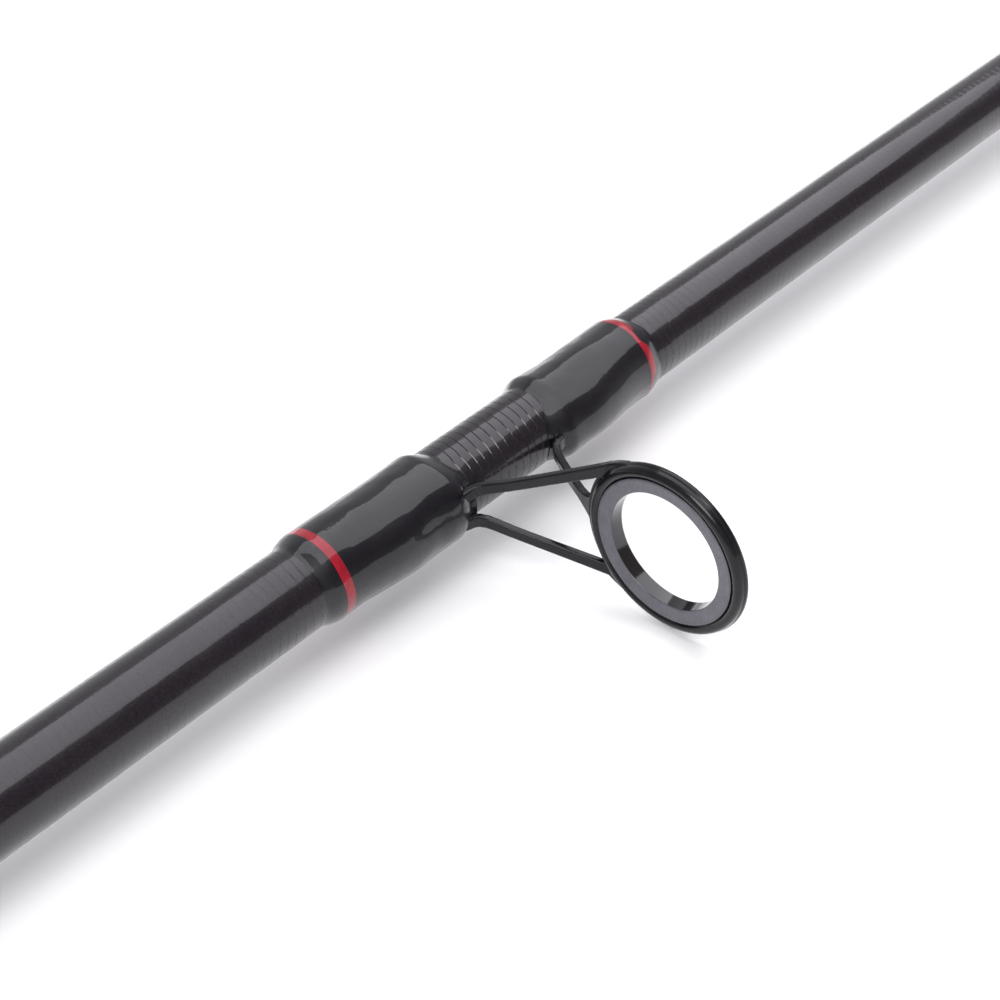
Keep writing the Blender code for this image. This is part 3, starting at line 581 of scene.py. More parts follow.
def make_blank(node, body, pairs, read_bore):
    """A straight tube, with rings close enough together for its taper."""
    stations = [x for x, _ in pairs]
    fine = []
    for start, end in zip(stations, stations[1:]):
        if end - start > 0.1 * MM:
            fine += between(start, end, max(int((end - start) / (12 * MM)), 2))[:-1]
    fine.append(stations[-1])
    outer = tube_outside(fine, reader(pairs), TUBE_EDGE)
    bore = [(x, read_bore(x)) for x in (fine[0], fine[-1])]
    piece = revolve(node + "_tube", outer + bore, FINE_SIDES)
    return finish_piece(piece, CARBON, body, "carbon_blank", node)


def make_blanks():
    butt_inside = reader(outline("butt_blank", min))
    make_blank("butt_blank", BUTT, BUTT_OUTSIDE, butt_inside)
    low, high = low_high("tip_blank")
    socket_end = low_high("butt_blank")[1].x
    mouth_radius = read_butt(low.x) + SOCKET_GAP
    socket_radius = read_butt(socket_end) + SOCKET_GAP
    past = socket_end + 2 * SOCKET_GAP
    fine = between(low.x, socket_end, 6)
    fine += between(socket_end, socket_end + SOCKET_RELIEF, 10)[1:]
    fine += between(socket_end + SOCKET_RELIEF, high.x, 60)[1:]
    outer = tube_outside(fine, read_tip, TUBE_EDGE / 2)
    bore = [(low.x, mouth_radius), (past, socket_radius), (past, socket_radius - 1.5 * MM)]
    bore += [(past + SOCKET_RELIEF, read_tip(past + SOCKET_RELIEF) - 1.1 * MM)]
    bore += [(high.x, blank_radius(high.x) - TIP_WALL)]
    piece = revolve("tip_blank_tube", outer + bore, FINE_SIDES)
    finish_piece(piece, CARBON, TIP, "carbon_blank", "tip_blank")


# ---- Thread wraps ---------------------------------------------------------------------

class Wrap:
    """The epoxy surface of one wrap, from its outer end to its inner end."""

    def __init__(self, node, inner_is_high, hump, hump_width, seed, skirt):
        low, high = low_high(node)
        self.outer_end = low.x if inner_is_high else high.x
        self.inner_end = high.x if inner_is_high else low.x
        self.direction = 1.0 if inner_is_high else -1.0
        self.length = high.x - low.x
        self.hump = hump
        self.hump_width = hump_width
        self.seed = seed
        self.skirt = skirt
        self.tongue = (0.7 if inner_is_high else 1.1) * skirt if hump > 0.0 else 0.0

    def thickness(self, x, turn):
        """Height of the epoxy over the blank."""
        out = (x - self.outer_end) * self.direction
        inn = self.length - out
        end = blend_step(out / (self.skirt * 1.5)) ** 0.7
        rim = blend_step(inn / (1.35 * self.skirt)) ** 0.75
        body = THREAD_HEIGHT * blend_step(out / (0.5 * self.skirt)) + EPOXY_HEIGHT
        height = EPOXY_SKIRT + (body - EPOXY_SKIRT) * min(end, rim)
        rise = blend_step((out - 0.16 * self.length) / (0.5 * self.length))
        fall = blend_step(inn / (1.3 * self.skirt))
        side = abs(turn) * blank_radius(x) / self.hump_width
        saddle = exp(-0.5 * side ** 2.4) - 0.10 * exp(-0.5 * ((side - 2.1) / 0.35) ** 2)
        height += self.hump * rise * (0.55 + 0.45 * fall) * saddle * max(rim, 0.2)
        place = Vector((x * 95.0, 1.3 * cos(turn), 1.3 * sin(turn) + self.seed))
        quick = Vector((x * 330.0, 2.9 * cos(turn), 2.9 * sin(turn) + self.seed))
        wave = 0.24 * noise.noise(place) + 0.045 * noise.noise(quick)
        wave *= 0.8 + 1.1 * blend_step(1.0 - inn / (0.6 * self.length))
        scale = (EPOXY_HEIGHT + THREAD_HEIGHT) / (0.9 * MM)
        return height + wave * MM * scale * min(end, rim)

    def radius(self, x, turn):
        return blank_radius(x) + self.thickness(x, turn)


def wrap_piece(name, wrap, stations, sides, material, body, slot, node):
    """A closed ring of epoxied thread whose ends wander a little round the rod."""
    ends = 0.35 * wrap.skirt

    def station(share, turn):
        out = share * wrap.length
        x = wrap.outer_end + wrap.direction * out
        sway = noise.noise(Vector((1.3 * cos(turn), 1.3 * sin(turn), wrap.seed * 3.1)))
        creep = noise.noise(Vector((2.3 * cos(turn), 2.3 * sin(turn), wrap.seed * 1.7)))
        pull = (1.0 - blend_step(share * 6.0)) * ends * sway
        side = abs(turn) * blank_radius(x) / wrap.hump_width
        reach = wrap.tongue * exp(-0.5 * (0.8 * side) ** 4) + 0.6 * ends * creep
        pull += blend_step(share * 6.0 - 5.0) * reach
        return x, x + wrap.direction * pull

    def row(share):
        def read(turn):
            x, moved = station(share, turn)
            return moved, wrap.radius(x, turn)
        return read

    def under(share):
        def read(turn):
            x, moved = station(share, turn)
            return moved, blank_radius(x) - 0.02 * MM
        return read

    rows = [row(share) for share in stations] + [under(1.0), under(0.0)]
    piece = shell(name, rows, sides, True, 60.0)
    return finish_piece(piece, material, body, slot, node)


def eased_stations(count, length, skirt):
    """Shares of a wrap's length that crowd towards its two ends."""
    near = [skirt / length * (i / 8) ** 2 for i in range(8)]
    middle = between(skirt / length, 1.0 - skirt / length, count)
    return near + middle + [1.0 - share for share in reversed(near)]


def make_wrap(node, body, inner_is_high, hump, hump_width, seed, count, sides, skirt):
    wrap = Wrap(node, inner_is_high, hump, hump_width, seed, skirt)
    stations = eased_stations(count, wrap.length, skirt)
    wrap_piece(node + "_epoxy", wrap, stations, sides, EPOXY, body, "epoxy_wrap", node)
    return wrap


def make_band(node, body, wrap, sides):
    """Red thread that shows through the epoxy, level with the wrap's surface."""
    low, high = low_high(node)
    middle = (low.x + high.x) / 2
    xs = between(middle - BAND_WIDTH / 2, middle + BAND_WIDTH / 2, 6)

    def row(x, lift):
        return lambda turn: (x, wrap.radius(x, turn) + lift)

    rows = [row(x, BAND_PROUD) for x in xs]
    rows += [row(x, -BAND_DEPTH) for x in reversed(xs)]
    piece = shell(node + "_thread", rows, sides, True, 60.0)
    finish_piece(piece, RED_THREAD, body, "red_thread", node)


# ---- Guides ---------------------------------------------------------------------------

def ring_sizes(name):
    """Centre and radii of a guide's ring and frame, from its solids."""
    low, high = low_high(name + "_ring")
    centre = (low + high) / 2
    radii = [hypot(p.y - centre.y, p.z - centre.z) for p in points_of(name + "_ring")]
    frame_radii = [hypot(p.y - centre.y, p.z - centre.z) for p in points_of(name + "_frame")]
    return {"centre": centre, "bore": min(radii), "ring": max(radii), "seat": min(frame_radii),
            "rim": low_high(name + "_frame")[1].z, "front": low.x, "back": high.x}


def make_insert(name, size, body):
    """The ceramic ring: a bevelled face, a rounded shoulder and a smooth bore."""
    front, back = size["front"], size["back"]
    bore, ring = size["bore"], size["ring"] + 0.12 * MM
    face = ring - bore
    profile = [(back, bore + 0.35 * face), (back - 0.30 * face, ring)]
    profile += [(front + 0.02 * face, ring), (front, ring - 0.12 * face)]
    profile += [(front + 0.10 * face, bore + 0.05 * face), (front + 0.15 * face, bore), (back, bore)]
    profile = rounded(profile, 0.05 * face, 4)
    centre = (size["centre"].y, size["centre"].z)
    piece = revolve(name + "_insert", profile, 144, True, 80.0, centre)
    finish_piece(piece, CERAMIC, body, "guide_ring", name + "_ring")


def rim_profile(size, sheet, collar):
    """Rolled rim and collar, as (x, radius) round the section."""
    middle = size["centre"].x
    half = sheet / 2
    seat = size["seat"]
    rim = size["rim"]
    bead = 0.45 * (rim - seat)
    profile = [(middle + half, seat), (middle + half, rim - half)]
    for step in range(9):
        turn = pi * step / 8
        profile.append((middle + half * cos(turn), rim - half + half * sin(turn)))
    profile.append((middle - half * 0.80, seat + 1.9 * bead))
    for step in range(9):
        turn = pi * (0.25 + 0.85 * step / 8)
        profile.append((middle - collar + bead + bead * cos(turn), seat + bead + bead * sin(turn)))
    profile.append((middle - collar + 0.6 * bead, seat))
    return profile


def strip(name, path, half_widths, half_thickness, across_hint=Vector((0.0, 0.0, 1.0))):
    """A flat strip with rounded long edges along a path."""
    points = [Vector(p) for p in path]
    vertices = []
    for i, point in enumerate(points):
        ahead = (points[min(i + 1, len(points) - 1)] - points[max(i - 1, 0)]).normalized()
        across = (across_hint - across_hint.dot(ahead) * ahead).normalized()
        normal = ahead.cross(across)
        half = half_widths[i]
        edge = min(0.4 * half_thickness, 0.4 * half)
        for a, b in ((1, 1), (-1, 1), (-1, -1), (1, -1)):
            corner = [(half, 1.0 - edge / half_thickness),
                      (half - 0.3 * edge, 1.0 - 0.3 * edge / half_thickness), (half - edge, 1.0)]
            if a * b < 0:
                corner.reverse()
            for wide, thick in corner:
                vertices.append(point + across * (a * wide) + normal * (b * thick * half_thickness))
    return make_object(name, vertices, ring_faces(len(points), 12))


def span_places(spans, count):
    """Each of count + 1 even stations as its span's number and its share along that span."""
    for i in range(count + 1):
        place = spans * i / count
        k = min(int(place), spans - 1)
        yield k, place - k


def curve_through(points, count):
    """Evenly shared points on a smooth curve through the given ones."""
    points = [Vector(p) for p in points]
    result = []
    for k, t in span_places(len(points) - 1, count):
        p0 = points[max(k - 1, 0)]
        p1, p2 = points[k], points[k + 1]
        p3 = points[min(k + 2, len(points) - 1)]
        result.append(0.5 * ((2 * p1) + (p2 - p0) * t + (2 * p0 - 5 * p1 + 4 * p2 - p3) * t * t
                             + (3 * p1 - p0 - 3 * p2 + p3) * t ** 3))
    return result


def shared(values, count):
    """Values spread over count + 1 stations, straight between them."""
    places = span_places(len(values) - 1, count)
    return [values[k] + (values[k + 1] - values[k]) * t for k, t in places]


def fuse(name, parts, voxel, rounds):
    """Join overlapping bodies into one skin and soften its inner corners."""
    build = bmesh.new()
    for part in parts:
        build.from_mesh(part.data)
        bpy.data.objects.remove(part, do_unlink=True)
    mesh = bpy.data.meshes.new(name)
    build.to_mesh(mesh)
    build.free()
    obj = bpy.data.objects.new(name, mesh)
    bpy.context.scene.collection.objects.link(obj)
    remesh = obj.modifiers.new("skin", "REMESH")
    remesh.mode = "VOXEL"
    remesh.voxel_size = voxel
    remesh.adaptivity = 0.0
    soften = obj.modifiers.new("soften", "SMOOTH")
    soften.factor = 0.5
    soften.iterations = rounds
    evaluated_copy(obj)
    obj.data.shade_smooth()
    return obj


def leg_root(size, x, side, lift):
    """Where a leg leaves the blank: the foot's height over the blank."""
    station = size["centre"].x + side * x
    return Vector((station, -(blank_radius(station) + lift), 0.0))


def make_frame(name, body, feet, sheet, leg_width, spread, foot_start, foot_reach, voxel):
    """The stamped frame: rim, legs and feet in one skin."""
    size = ring_sizes(name)
    centre = size["centre"]
    collar = centre.x - size["front"] + 0.10 * MM
    rim = revolve("rim", rim_profile(size, sheet, collar), 160, True, 80.0, (centre.y, centre.z))
    parts = [rim]
    half = 1.08 * leg_width / 2
    half_sheet = sheet / 2 * 0.95
    middle = (size["ring"] + size["rim"]) / 2 + 0.3 * MM * (sheet / BASE_SHEET)
    pair_side = -1 if feet == 2 else 1
    lift = 0.62 * sheet
    steps = 14
    corner_radius = size["rim"] + 0.15 * leg_width
    for hand in (1, -1):
        root = leg_root(size, foot_start, pair_side, lift) + Vector((0.0, 0.0, hand * spread))
        corner = Vector((centre.x + pair_side * 0.1 * sheet, centre.y + corner_radius * cos(LEG_ANGLE),
                         hand * corner_radius * sin(LEG_ANGLE)))
        inner = root + Vector((pair_side * 2.2 * leg_width, 0.15 * sheet, -0.15 * hand * spread))
        before = root + Vector((pair_side * 0.9 * leg_width, 0.12 * sheet, 0.0))
        after = root.lerp(corner, 0.07) + Vector((0.0, 0.25 * sheet, 0.0))
        path = curve_through([inner, before, after, root.lerp(corner, 0.3), root.lerp(corner, 0.65),
                              corner], steps)
        widths = shared([half * 0.9, half, half * 0.95, half * 0.86, half * 0.9, half], steps)
        parts.append(strip("leg", path, widths, half_sheet))
        parts.append(gusset(centre, corner, hand, size["rim"], half, half_sheet))
    parts.append(web(centre, size["rim"], leg_width, 0.8 * half_sheet, pair_side))
    parts.append(foot_plate(size, pair_side, spread + half, half, foot_start, foot_reach, sheet))
    if feet == 2:
        root = leg_root(size, 0.9 * foot_start, 1, lift)
        end = Vector((centre.x, centre.y + middle, 0.0))
        bow = Vector((-0.3 * sheet, 0.0, 0.0))
        inner = root + Vector((2.2 * leg_width, 0.1 * sheet, 0.0))
        before = root + Vector((0.8 * leg_width, 0.05 * sheet, 0.0))
        path = curve_through([inner, before, root.lerp(end, 0.08) + bow * 0.3, root.lerp(end, 0.4) + bow,
                              root.lerp(end, 0.72) + bow * 0.7, root.lerp(end, 0.9) + bow * 0.1, end], steps)
        widths = shared([half, half * 1.1, half * 0.9, half * 0.9, half * 1.0, half * 2.0, half * 4.0], steps)
        parts.append(strip("leg", path, widths, half_sheet))
        parts.append(foot_plate(size, 1, half * 1.6, half, foot_start, foot_reach, sheet))
    piece = fuse(name + "_stamping", parts, voxel, 5)
    finish_piece(piece, FRAME_PAINT, body, "guide_frame", name + "_frame")
    make_insert(name, size, body)
    return size


def gusset(centre, corner, hand, rim, half, half_sheet):
    """The flat corner that carries a leg's end on round the rim."""
    points = []
    for share in between(0.0, 1.0, 8):
        turn = LEG_ANGLE + GUSSET_TURN * share
        radius = rim + 0.30 * half * (1.0 - share) - 0.5 * half * share
        points.append(Vector((corner.x + (centre.x - corner.x) * share, centre.y + radius * cos(turn),
                              hand * radius * sin(turn))))
    widths = shared([half * 0.95, half * 0.8, half * 0.65, half * 0.5], 8)
    inward = Vector((0.0, -cos(LEG_ANGLE), -hand * sin(LEG_ANGLE)))
    return strip("corner", points, widths, half_sheet, inward)


def web(centre, rim, leg_width, half_sheet, side):
    """The sheet between the legs, along the rim's lower edge."""
    vertices = []
    rows = between(-WEB_HALF_TURN, WEB_HALF_TURN, 24)
    for turn in rows:
        fade = blend_step((WEB_HALF_TURN - abs(turn)) / WEB_FADE)
        inner = rim - 0.45 * leg_width
        outer = rim + (0.42 * fade - 0.2) * leg_width
        for radius, way in ((inner, -1), (inner, 1), (outer, 1), (outer, -1)):
            vertices.append((centre.x + (0.1 * side + way) * half_sheet, centre.y + radius * cos(turn),
                             radius * sin(turn)))
    return make_object("web", vertices, ring_faces(len(rows), 4))


def foot_plate(size, side, half_start, half_end, start, reach, sheet):
    """The saddle-shaped foot on the blank, hidden under its wrap."""
    vertices = []
    across = 9
    rows = 10
    for i in range(rows + 1):
        share = i / rows
        offset = start - 0.2 * sheet + (reach - start) * share
        x = size["centre"].x + side * offset
        low = blank_radius(x) + 0.05 * MM
        high = low + sheet * (0.85 - 0.5 * share)
        half = half_start + (half_end - half_start) * share ** 0.6
        turn = min(half / low, 1.2)
        for k in range(across):
            vertices.append(polar_point(x, low, turn * (2 * k / (across - 1) - 1)))
        for k in reversed(range(across)):
            place = 2 * k / (across - 1) - 1
            vertices.append(polar_point(x, high - 0.35 * (high - low) * place ** 2, turn * place))
    return make_object("foot", vertices, ring_faces(rows + 1, 2 * across))


def make_guides():
    """All ring guides. Each row: name, body, feet, whether it has trim bands, voxel."""
    rows = [
        ("stripper_guide", BUTT, 2, True, 0.085 * MM),
        ("second_guide", TIP, 2, False, 0.15 * MM),
        ("third_guide", TIP, 2, False, 0.14 * MM),
        ("fourth_guide", TIP, 1, False, 0.12 * MM),
        ("fifth_guide", TIP, 1, False, 0.11 * MM),
        ("sixth_guide", TIP, 1, False, 0.10 * MM),
        ("seventh_guide", TIP, 1, False, 0.10 * MM),
    ]
    for index, (name, body, feet, banded, voxel) in enumerate(rows):
        ring = ring_sizes(name)
        scale = ring["ring"] / BASE_RING
        slim = scale ** SLIM_POWER
        sheet = BASE_SHEET * slim
        leg_width = BASE_LEG * slim
        spread = min(BASE_SPREAD * slim, 0.45 * blank_radius(ring["centre"].x))
        foot_start = BASE_FOOT_START * scale
        foot_reach = BASE_FOOT_REACH * scale ** 0.8 - 1 * MM * slim
        make_frame(name, body, feet, sheet, leg_width, spread, foot_start, foot_reach, voxel)
        hump = FOOT_HUMP * slim
        wide = spread + leg_width * 0.62 + 1.4 * MM * slim
        narrow = leg_width * 0.9 + 1.6 * MM * slim
        sides = FINE_SIDES if banded else PLAIN_SIDES
        count = 90 if banded else 36
        skirt = BASE_SKIRT * slim
        if feet == 2:
            rear = make_wrap(name + "_rear_wrap", body, True, hump, wide, index + 0.3, count, sides,
                             skirt)
            front = make_wrap(name + "_front_wrap", body, False, hump * 1.05, narrow, index + 0.7,
                              count, sides, skirt)
            if banded:
                make_band(name + "_rear_trim_band", body, rear, sides)
                make_band(name + "_front_trim_band", body, front, sides)
        else:
            make_wrap(name + "_wrap", body, False, hump, wide, index + 0.5, count, sides, skirt)


# ---- Handle ---------------------------------------------------------------------------

def smooth_reader(pairs):
    """Like reader, but with rounded joins between the straight runs."""
    def slope(i):
        low, high = max(i - 1, 0), min(i + 1, len(pairs) - 1)
        return (pairs[high][1] - pairs[low][1]) / (pairs[high][0] - pairs[low][0])

    def read(x):
        for i in range(len(pairs) - 1):
            x0, r0 = pairs[i]
            x1, r1 = pairs[i + 1]
            if x <= x1 or i == len(pairs) - 2:
                run = x1 - x0
                t = min(max((x - x0) / run, 0.0), 1.0)
                a = (1 + 2 * t) * (1 - t) ** 2 * r0 + t * (1 - t) ** 2 * run * slope(i)
                return a + t * t * (3 - 2 * t) * r1 + t * t * (t - 1) * run * slope(i + 1)
        return pairs[-1][1]
    return read


def make_cap():
    high = low_high("butt_cap")[1]
    wide = max(r for _, r in outline("butt_cap", max))
    bore = outline("butt_cap", min)[-1][1]
    floor_x = 6 * MM
    edge = 2.4 * MM
    rows = [(floor_x, bore), (high.x, bore), (high.x, wide - 1.0 * MM), (high.x - 0.3 * MM, wide - 0.35 * MM),
            (high.x - 1.1 * MM, wide)]
    for middle in (15.5 * MM, 12.5 * MM, 9.5 * MM):
        for offset, depth in ((0.75, 0.0), (0.5, 0.25), (0.0, 0.55), (-0.5, 0.25), (-0.75, 0.0)):
            rows.append((middle + offset * MM, wide - depth * MM))
    for i in range(9):
        turn = pi / 2 * i / 8
        rows.append((edge * (1.0 - sin(turn)), wide - edge * (1.0 - cos(turn))))
    rows += [(0.0, wide - 4.2 * MM), (0.5 * MM, wide - 4.8 * MM), (0.6 * MM, 2.0 * MM)]
    piece = revolve("butt_cap_rubber", rows, PLAIN_SIDES, False, 40.0)
    finish_piece(piece, RUBBER, BUTT, "rubber", "butt_cap")


def make_grip(node):
    low, high = low_high(node)
    read = smooth_reader(outline(node, max))
    bores = outline(node, min)
    count = int((high.x - low.x) / (2.5 * MM))
    xs = [low.x, low.x + 0.4 * MM, low.x + 1.0 * MM, low.x + 1.8 * MM]
    xs += between(low.x + 3 * MM, high.x - 3 * MM, count)
    xs += [high.x - 1.8 * MM, high.x - 1.0 * MM, high.x - 0.4 * MM, high.x]

    def row(x):
        def at(turn):
            pore = noise.noise(Vector((x * 900, 7 * cos(turn), 7 * sin(turn))))
            return x, read(x) + 0.03 * MM * pore
        return at

    rows = [row(x) for x in reversed(xs)]
    rows += [fixed_row(low.x, bores[0][1]), fixed_row(high.x, bores[-1][1])]
    piece = shell(node + "_foam", rows, PLAIN_SIDES)
    finish_piece(piece, FOAM, BUTT, "grip_foam", node)


def make_plain_sleeve(node, material, slot, rounding):
    """A ring or tube with softened corners, from the solid's own section."""
    low, high = low_high(node)
    wide = max(r for _, r in outline(node, max))
    bore = min(r for _, r in outline(node, min))
    profile = [(high.x, wide), (low.x, wide), (low.x, bore), (high.x, bore)]
    piece = revolve(node + "_body", rounded(profile, rounding), PLAIN_SIDES)
    finish_piece(piece, material, BUTT, slot, node)


def make_seat():
    """The seat's tube, with the nut's thread cut into its rear half."""
    low, high = low_high("reel_seat_body")
    outside = outline("reel_seat_body", max)
    bore = min(r for _, r in outline("reel_seat_body", min))
    seat = outside[-1][1]
    collar = outside[0][1]
    collar_end = low.x + 3 * MM
    thread_start = collar_end + 0.8 * MM
    thread_end = thread_start + SEAT_THREAD_RUN

    def threaded(x):
        def at(turn):
            phase = ((x - thread_start) / SEAT_THREAD_PITCH - turn / tau) % 1.0
            tooth = min(max(2.4 * abs(2 * phase - 1) - 0.7, 0.0), 1.0)
            fade = blend_step((x - thread_start) / (2 * MM)) * blend_step((thread_end - x) / (3 * MM))
            return x, seat - SEAT_THREAD_DEPTH * tooth * fade
        return at

    rows = [fixed_row(high.x, seat - 0.3 * MM), fixed_row(high.x - 0.3 * MM, seat)]
    middle = (thread_end + high.x) / 2
    for offset in (9, 3, -3, -9):
        for step, depth in ((1.4, 0.0), (1.0, 0.16), (0.6, 0.3), (-0.6, 0.3), (-1.0, 0.16), (-1.4, 0.0)):
            rows.append(fixed_row(middle + (offset + step) * MM, seat - depth * MM))
    for x in between(thread_end + 1 * MM, thread_start - 0.5 * MM, 190):
        rows.append(threaded(x))
    rows += [fixed_row(collar_end, seat), fixed_row(collar_end, collar - 0.4 * MM)]
    rows += [fixed_row(collar_end - 0.4 * MM, collar), fixed_row(low.x + 0.4 * MM, collar)]
    rows += [fixed_row(low.x, collar - 0.4 * MM), fixed_row(low.x, bore), fixed_row(high.x, bore)]
    piece = shell("reel_seat_tube", rows, 96)
    finish_piece(piece, SEAT, BUTT, "reel_seat", "reel_seat_body")
    for node in ("rear_arbor", "front_arbor"):
        make_plain_sleeve(node, ARBOR, "arbor", 0.3 * MM)


def make_hood(node, body, direction):
    """A hood with a raised pocket on the guides' side for one end of the reel's foot."""
    low, high = low_high(node)
    closed = low.x if direction > 0 else high.x
    length = high.x - low.x
    outside = outline(node, max)
    bore = min(r for _, r in outline(node, min))
    start = outside[0] if direction > 0 else outside[-1]
    wall = start[1]
    height = max(r for _, r in outside) - wall

    def raised(place, turn):
        rise = blend_step(place / HOOD_POCKET_FLOOR)
        spread = 1.0 - blend_step((abs(turn) / HOOD_HALF_ANGLE - 0.9) / 0.5)
        return wall + height * rise * spread

    def outer(place, drop):
        return lambda turn: (closed + direction * place, raised(place, turn) - drop)

    def inner(place, open_share):
        def at(turn):
            side = 1.0 - blend_step((abs(turn) / HOOD_HALF_ANGLE - 0.93) / 0.07)
            return closed + direction * place, bore + (height - 0.2 * MM) * open_share * side
        return at

    edge = 0.5 * MM
    rows = [outer(0.0, edge), outer(0.15 * edge, 0.5 * edge), outer(edge, 0.0)]
    rows += [outer(place, 0.0) for place in between(1.4 * MM, HOOD_POCKET_FLOOR + 1 * MM, 14)]
    for middle in (12.0 * MM, 14.0 * MM, 16.0 * MM):
        for offset, depth in ((-0.5, 0.0), (-0.3, 0.22), (0.3, 0.22), (0.5, 0.0)):
            rows.append(outer(middle + offset * MM, depth * MM))
    rows += [outer(length - 2.4 * MM, 0.0), outer(length - edge, 0.0)]
    rows += [outer(length - 0.15 * edge, 0.5 * edge), outer(length, edge)]
    rows += [inner(length, 1.0), inner(HOOD_POCKET_FLOOR + 0.2 * MM, 1.0), inner(HOOD_POCKET_FLOOR, 0.9)]
    rows += [inner(HOOD_POCKET_FLOOR - 0.1 * MM, 0.0), inner(0.0, 0.0)]
    piece = shell(node + "_shell", rows, 160, True, 30.0)
    finish_piece(piece, GUNMETAL, body, "hood_metal", node)


def make_nut():
    low, high = low_high("lock_nut")
    wide = max(r for _, r in outline("lock_nut", max))
    bore = min(r for _, r in outline("lock_nut", min))
    edge = 1.2 * MM

    def row(x, drop, flute):
        def at(turn):
            wave = (0.5 - 0.5 * cos(NUT_RIBS * turn)) ** 2.0
            return x, wide - drop - NUT_FLUTE * wave * flute
        return at

    rows = []
    for share in between(0.0, 1.0, 4):
        rows.append(row(high.x - edge * share, edge * (1 - share) ** 2, share))
    for share in between(0.0, 1.0, 10)[1:-1]:
        rows.append(row(high.x - edge - (high.x - low.x - 2 * edge) * share, 0.0, 1.0))
    for share in between(1.0, 0.0, 4):
        rows.append(row(low.x + edge * share, edge * (1 - share) ** 2, share))
    rows += [fixed_row(low.x, bore), fixed_row(high.x, bore)]
    piece = shell("lock_nut_ribbed", rows, 240, True, 40.0)
    finish_piece(piece, GUNMETAL, "nut", "hood_metal", "lock_nut")


def make_check():
    low, high = low_high("winding_check")
    outside = outline("winding_check", max)
    wide = outside[0][1]
    nose = outside[-1][1]
    bores = outline("winding_check", min)
    length = high.x - low.x
    profile = [(high.x, nose), (low.x + 0.62 * length, nose + 0.30 * (wide - nose))]
    profile += [(low.x + 0.60 * length, nose + 0.52 * (wide - nose))]
    profile += [(low.x + 0.36 * length, wide - 0.3 * MM)]
    profile += [(low.x + 0.34 * length, wide), (low.x, wide), (low.x, bores[0][1]), (high.x, bores[-1][1])]
    piece = revolve("winding_check_ring", rounded(profile, 0.35 * MM), PLAIN_SIDES)
    finish_piece(piece, GUNMETAL, BUTT, "hood_metal", "winding_check")


def wire(name, path, radius, sides=16):
    """A round wire along a path in the plane of the blank and the guides."""
    vertices = []
    for i, point in enumerate(path):
        ahead = (path[min(i + 1, len(path) - 1)] - path[max(i - 1, 0)]).normalized()
        normal = Vector((0.0, 0.0, 1.0)).cross(ahead)
        for k in range(sides):
            turn = tau * k / sides
            vertices.append(point + normal * radius * cos(turn) + Vector((0, 0, 1)) * radius * sin(turn))
    return make_object(name, vertices, ring_faces(len(path), sides))


def make_keeper():
    low, high = low_high("hook_keeper")
    middle = (low.x + high.x) / 2
    half = (high.x - low.x) / 2
    radius = (high.z - low.z) / 2
    base = blank_radius(middle) + radius + 0.15 * MM
    rise = -low.y - radius - base
    points = []
    for share in between(-1.0, 1.0, 48):
        arch = blend_step((0.52 - abs(share)) / 0.26)
        points.append(Vector((middle + half * share, -(base + rise * arch), 0.0)))
    piece = wire("hook_keeper_wire", points, radius)
    finish_piece(piece, GUNMETAL, BUTT, "hood_metal", "hook_keeper")
    wraps = (("hook_keeper_rear_wrap", True, 11.2), ("hook_keeper_front_wrap", False, 12.4))
    for node, inner_is_high, seed in wraps:
        make_wrap(node, BUTT, inner_is_high, 0.8 * MM, 1.5 * MM, seed, 24, PLAIN_SIDES, 1.4 * MM)


def make_tip_top():
    """The tip's tube with its last ring, on two struts and a saddle."""
    size = ring_sizes("tip_top")
    centre = size["centre"]
    low = low_high("tip_top_frame")[0]
    sheet = BASE_SHEET * (size["ring"] / BASE_RING) ** SLIM_POWER
    tube = max(abs(p.z) for p in points_of("tip_top_frame") if p.x < low.x + 1 * MM)
    bore = min(hypot(p.y, p.z) for p in points_of("tip_top_frame") if p.x < low.x + 0.1 * MM)
    tube_end = low_high("tip_blank")[1].x + 0.3 * MM
    profile = [(tube_end, bore), (low.x, bore), (low.x, tube - 0.15 * MM), (low.x + 0.15 * MM, tube)]
    profile += [(tube_end - 0.6 * MM, tube), (tube_end + 0.4 * MM, tube * 0.9)]
    profile += [(tube_end + 1.0 * MM, tube * 0.6)]
    parts = [revolve("tube", profile, 48, False)]
    collar = centre.x - size["front"] + 0.06 * MM
    parts.append(revolve("rim", rim_profile(size, sheet, collar), 120, True, 80.0, (centre.y, centre.z)))
    middle = (size["ring"] + size["rim"]) / 2 + 0.15 * MM
    half = 0.5 * MM
    for hand in (1, -1):
        start = Vector((low.x + 3 * MM, -tube * 0.75, hand * tube * 0.72))
        end = Vector((centre.x, centre.y + middle * 0.35, hand * middle * 0.94))
        path = curve_through([start, start.lerp(end, 0.4) + Vector((0, 0.1 * MM, hand * 0.12 * MM)),
                              start.lerp(end, 0.75), end], 10)
        parts.append(strip("strut", path, [half] * 11, 0.4 * sheet))
    root = Vector((tube_end + 0.2 * MM, -tube * 0.5, 0.0))
    foot = Vector((centre.x, centre.y + middle, 0.0))
    parts.append(strip("saddle", curve_through([root, root.lerp(foot, 0.5), foot], 6),
                       shared([half, half * 1.2, half * 2.2], 6), 0.4 * sheet))
    piece = fuse("tip_top_stamping", parts, 0.085 * MM, 4)
    finish_piece(piece, FRAME_PAINT, TIP, "guide_frame", "tip_top_frame")
    make_insert("tip_top", size, TIP)
    make_wrap("tip_top_wrap", TIP, True, 0.0, 1.0 * MM, 15.5, 20, 48, 0.9 * MM)


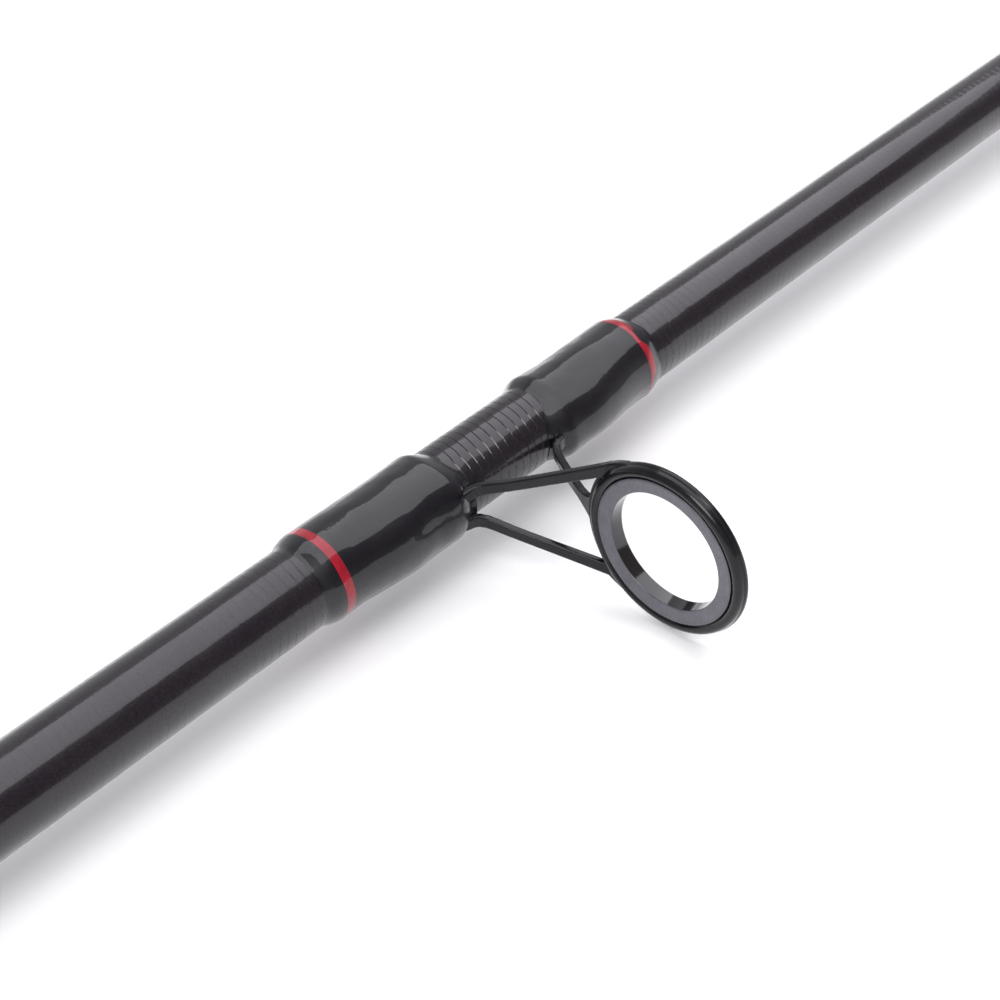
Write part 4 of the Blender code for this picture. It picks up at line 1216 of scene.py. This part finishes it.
def make_handle():
    make_cap()
    make_grip("rear_grip")
    make_grip("fore_grip")
    make_plain_sleeve("trim_ring", RED_METAL, "red_trim", 0.45 * MM)
    make_seat()
    make_hood("sliding_hood", "hood_carriage", 1)
    make_hood("fixed_hood", BUTT, -1)
    make_nut()
    make_check()
    make_keeper()
    make_wrap("ferrule_rear_wrap", BUTT, True, 0.0, 1.0 * MM, 13.1, 30, PLAIN_SIDES, 1.8 * MM)
    make_wrap("ferrule_front_wrap", TIP, False, 0.0, 1.0 * MM, 14.3, 30, PLAIN_SIDES, 1.8 * MM)


make_blanks()
make_handle()
make_guides()
make_tip_top()


# ---- Stage, light and camera ----------------------------------------------------------

def make_floor():
    size = FLOOR_HALF
    level = CAD_BOX[0][2]
    mesh = bpy.data.meshes.new("floor")
    corners = [(x, y, level) for x, y in ((-size, -size), (size, -size), (size, size), (-size, size))]
    mesh.from_pydata(corners, [], [(0, 1, 2, 3)])
    obj = bpy.data.objects.new("floor", mesh)
    bpy.context.scene.collection.objects.link(obj)
    look = Look("floor_paper", (0.86, 0.86, 0.86), 0.9)
    look.set("Specular IOR Level", 0.1)
    mesh.materials.append(look.material)


def make_light(name, place, target, width, height, power, colour=(1.0, 1.0, 1.0)):
    light = bpy.data.lights.new(name, "AREA")
    light.shape = "RECTANGLE"
    light.size = width
    light.size_y = height
    light.energy = power
    light.color = colour
    obj = bpy.data.objects.new(name, light)
    bpy.context.scene.collection.objects.link(obj)
    obj.location = place
    obj.rotation_euler = (Vector(place) - Vector(target)).to_track_quat("Z", "Y").to_euler()


def make_world():
    """A dim studio: dark on the guides' side, pale behind, and an even fill from the butt."""
    world = bpy.data.worlds.new("studio")
    bpy.context.scene.world = world
    world.use_nodes = True
    nodes = Nodes(world.node_tree, "Generated")
    parts = nodes.parts(nodes.place)
    side = nodes.tree.nodes.new("ShaderNodeValToRGB")
    side.color_ramp.elements.new(0.5)
    for stop, colour in zip(side.color_ramp.elements, WORLD_SIDES):
        stop.color = (*colour, 1.0)
    nodes.put(side.inputs[0], nodes.ramp(parts[1], -1.0, 1.0))
    colour = nodes.mix(nodes.ramp(parts[0], 0.10, -0.30), side.outputs[0], WORLD_FILL)
    nodes.put(nodes.tree.nodes["Background"].inputs["Color"], colour)


def make_camera():
    target = Vector((STRIPPER_X, 0.0, 0.0)) + LOOK_OFFSET
    back = Vector((sin(CAMERA_AZIMUTH) * cos(CAMERA_ELEVATION),
                   -cos(CAMERA_AZIMUTH) * cos(CAMERA_ELEVATION), sin(CAMERA_ELEVATION)))
    data = bpy.data.cameras.new("camera")
    data.lens = CAMERA_LENS
    data.sensor_width = 36.0
    data.clip_start = 0.01
    data.clip_end = 100.0
    obj = bpy.data.objects.new("camera", data)
    bpy.context.scene.collection.objects.link(obj)
    turned = back.to_track_quat("Z", "Y").to_matrix() @ Matrix.Rotation(-CAMERA_ROLL, 3, "Z")
    obj.rotation_euler = turned.to_euler()
    obj.location = target + back * CAMERA_DISTANCE
    bpy.context.scene.camera = obj


make_floor()
make_world()
lit = Vector((STRIPPER_X, 0.0, 0.0))
ahead_of_lit = lit + Vector((SOFTBOX_AHEAD, 0.0, 0.0))
overhead = ahead_of_lit + Vector((0.0, 0.0, SOFTBOX_HEIGHT))
make_light("overhead_softbox", overhead, ahead_of_lit, 1.55, 1.4, 19.0, (0.96, 0.95, 1.0))
make_light("key_softbox", lit + KEY_PLACE, lit, 0.60, 0.60, 10.0)
make_camera()
bpy.context.scene.view_settings.view_transform = "Standard"
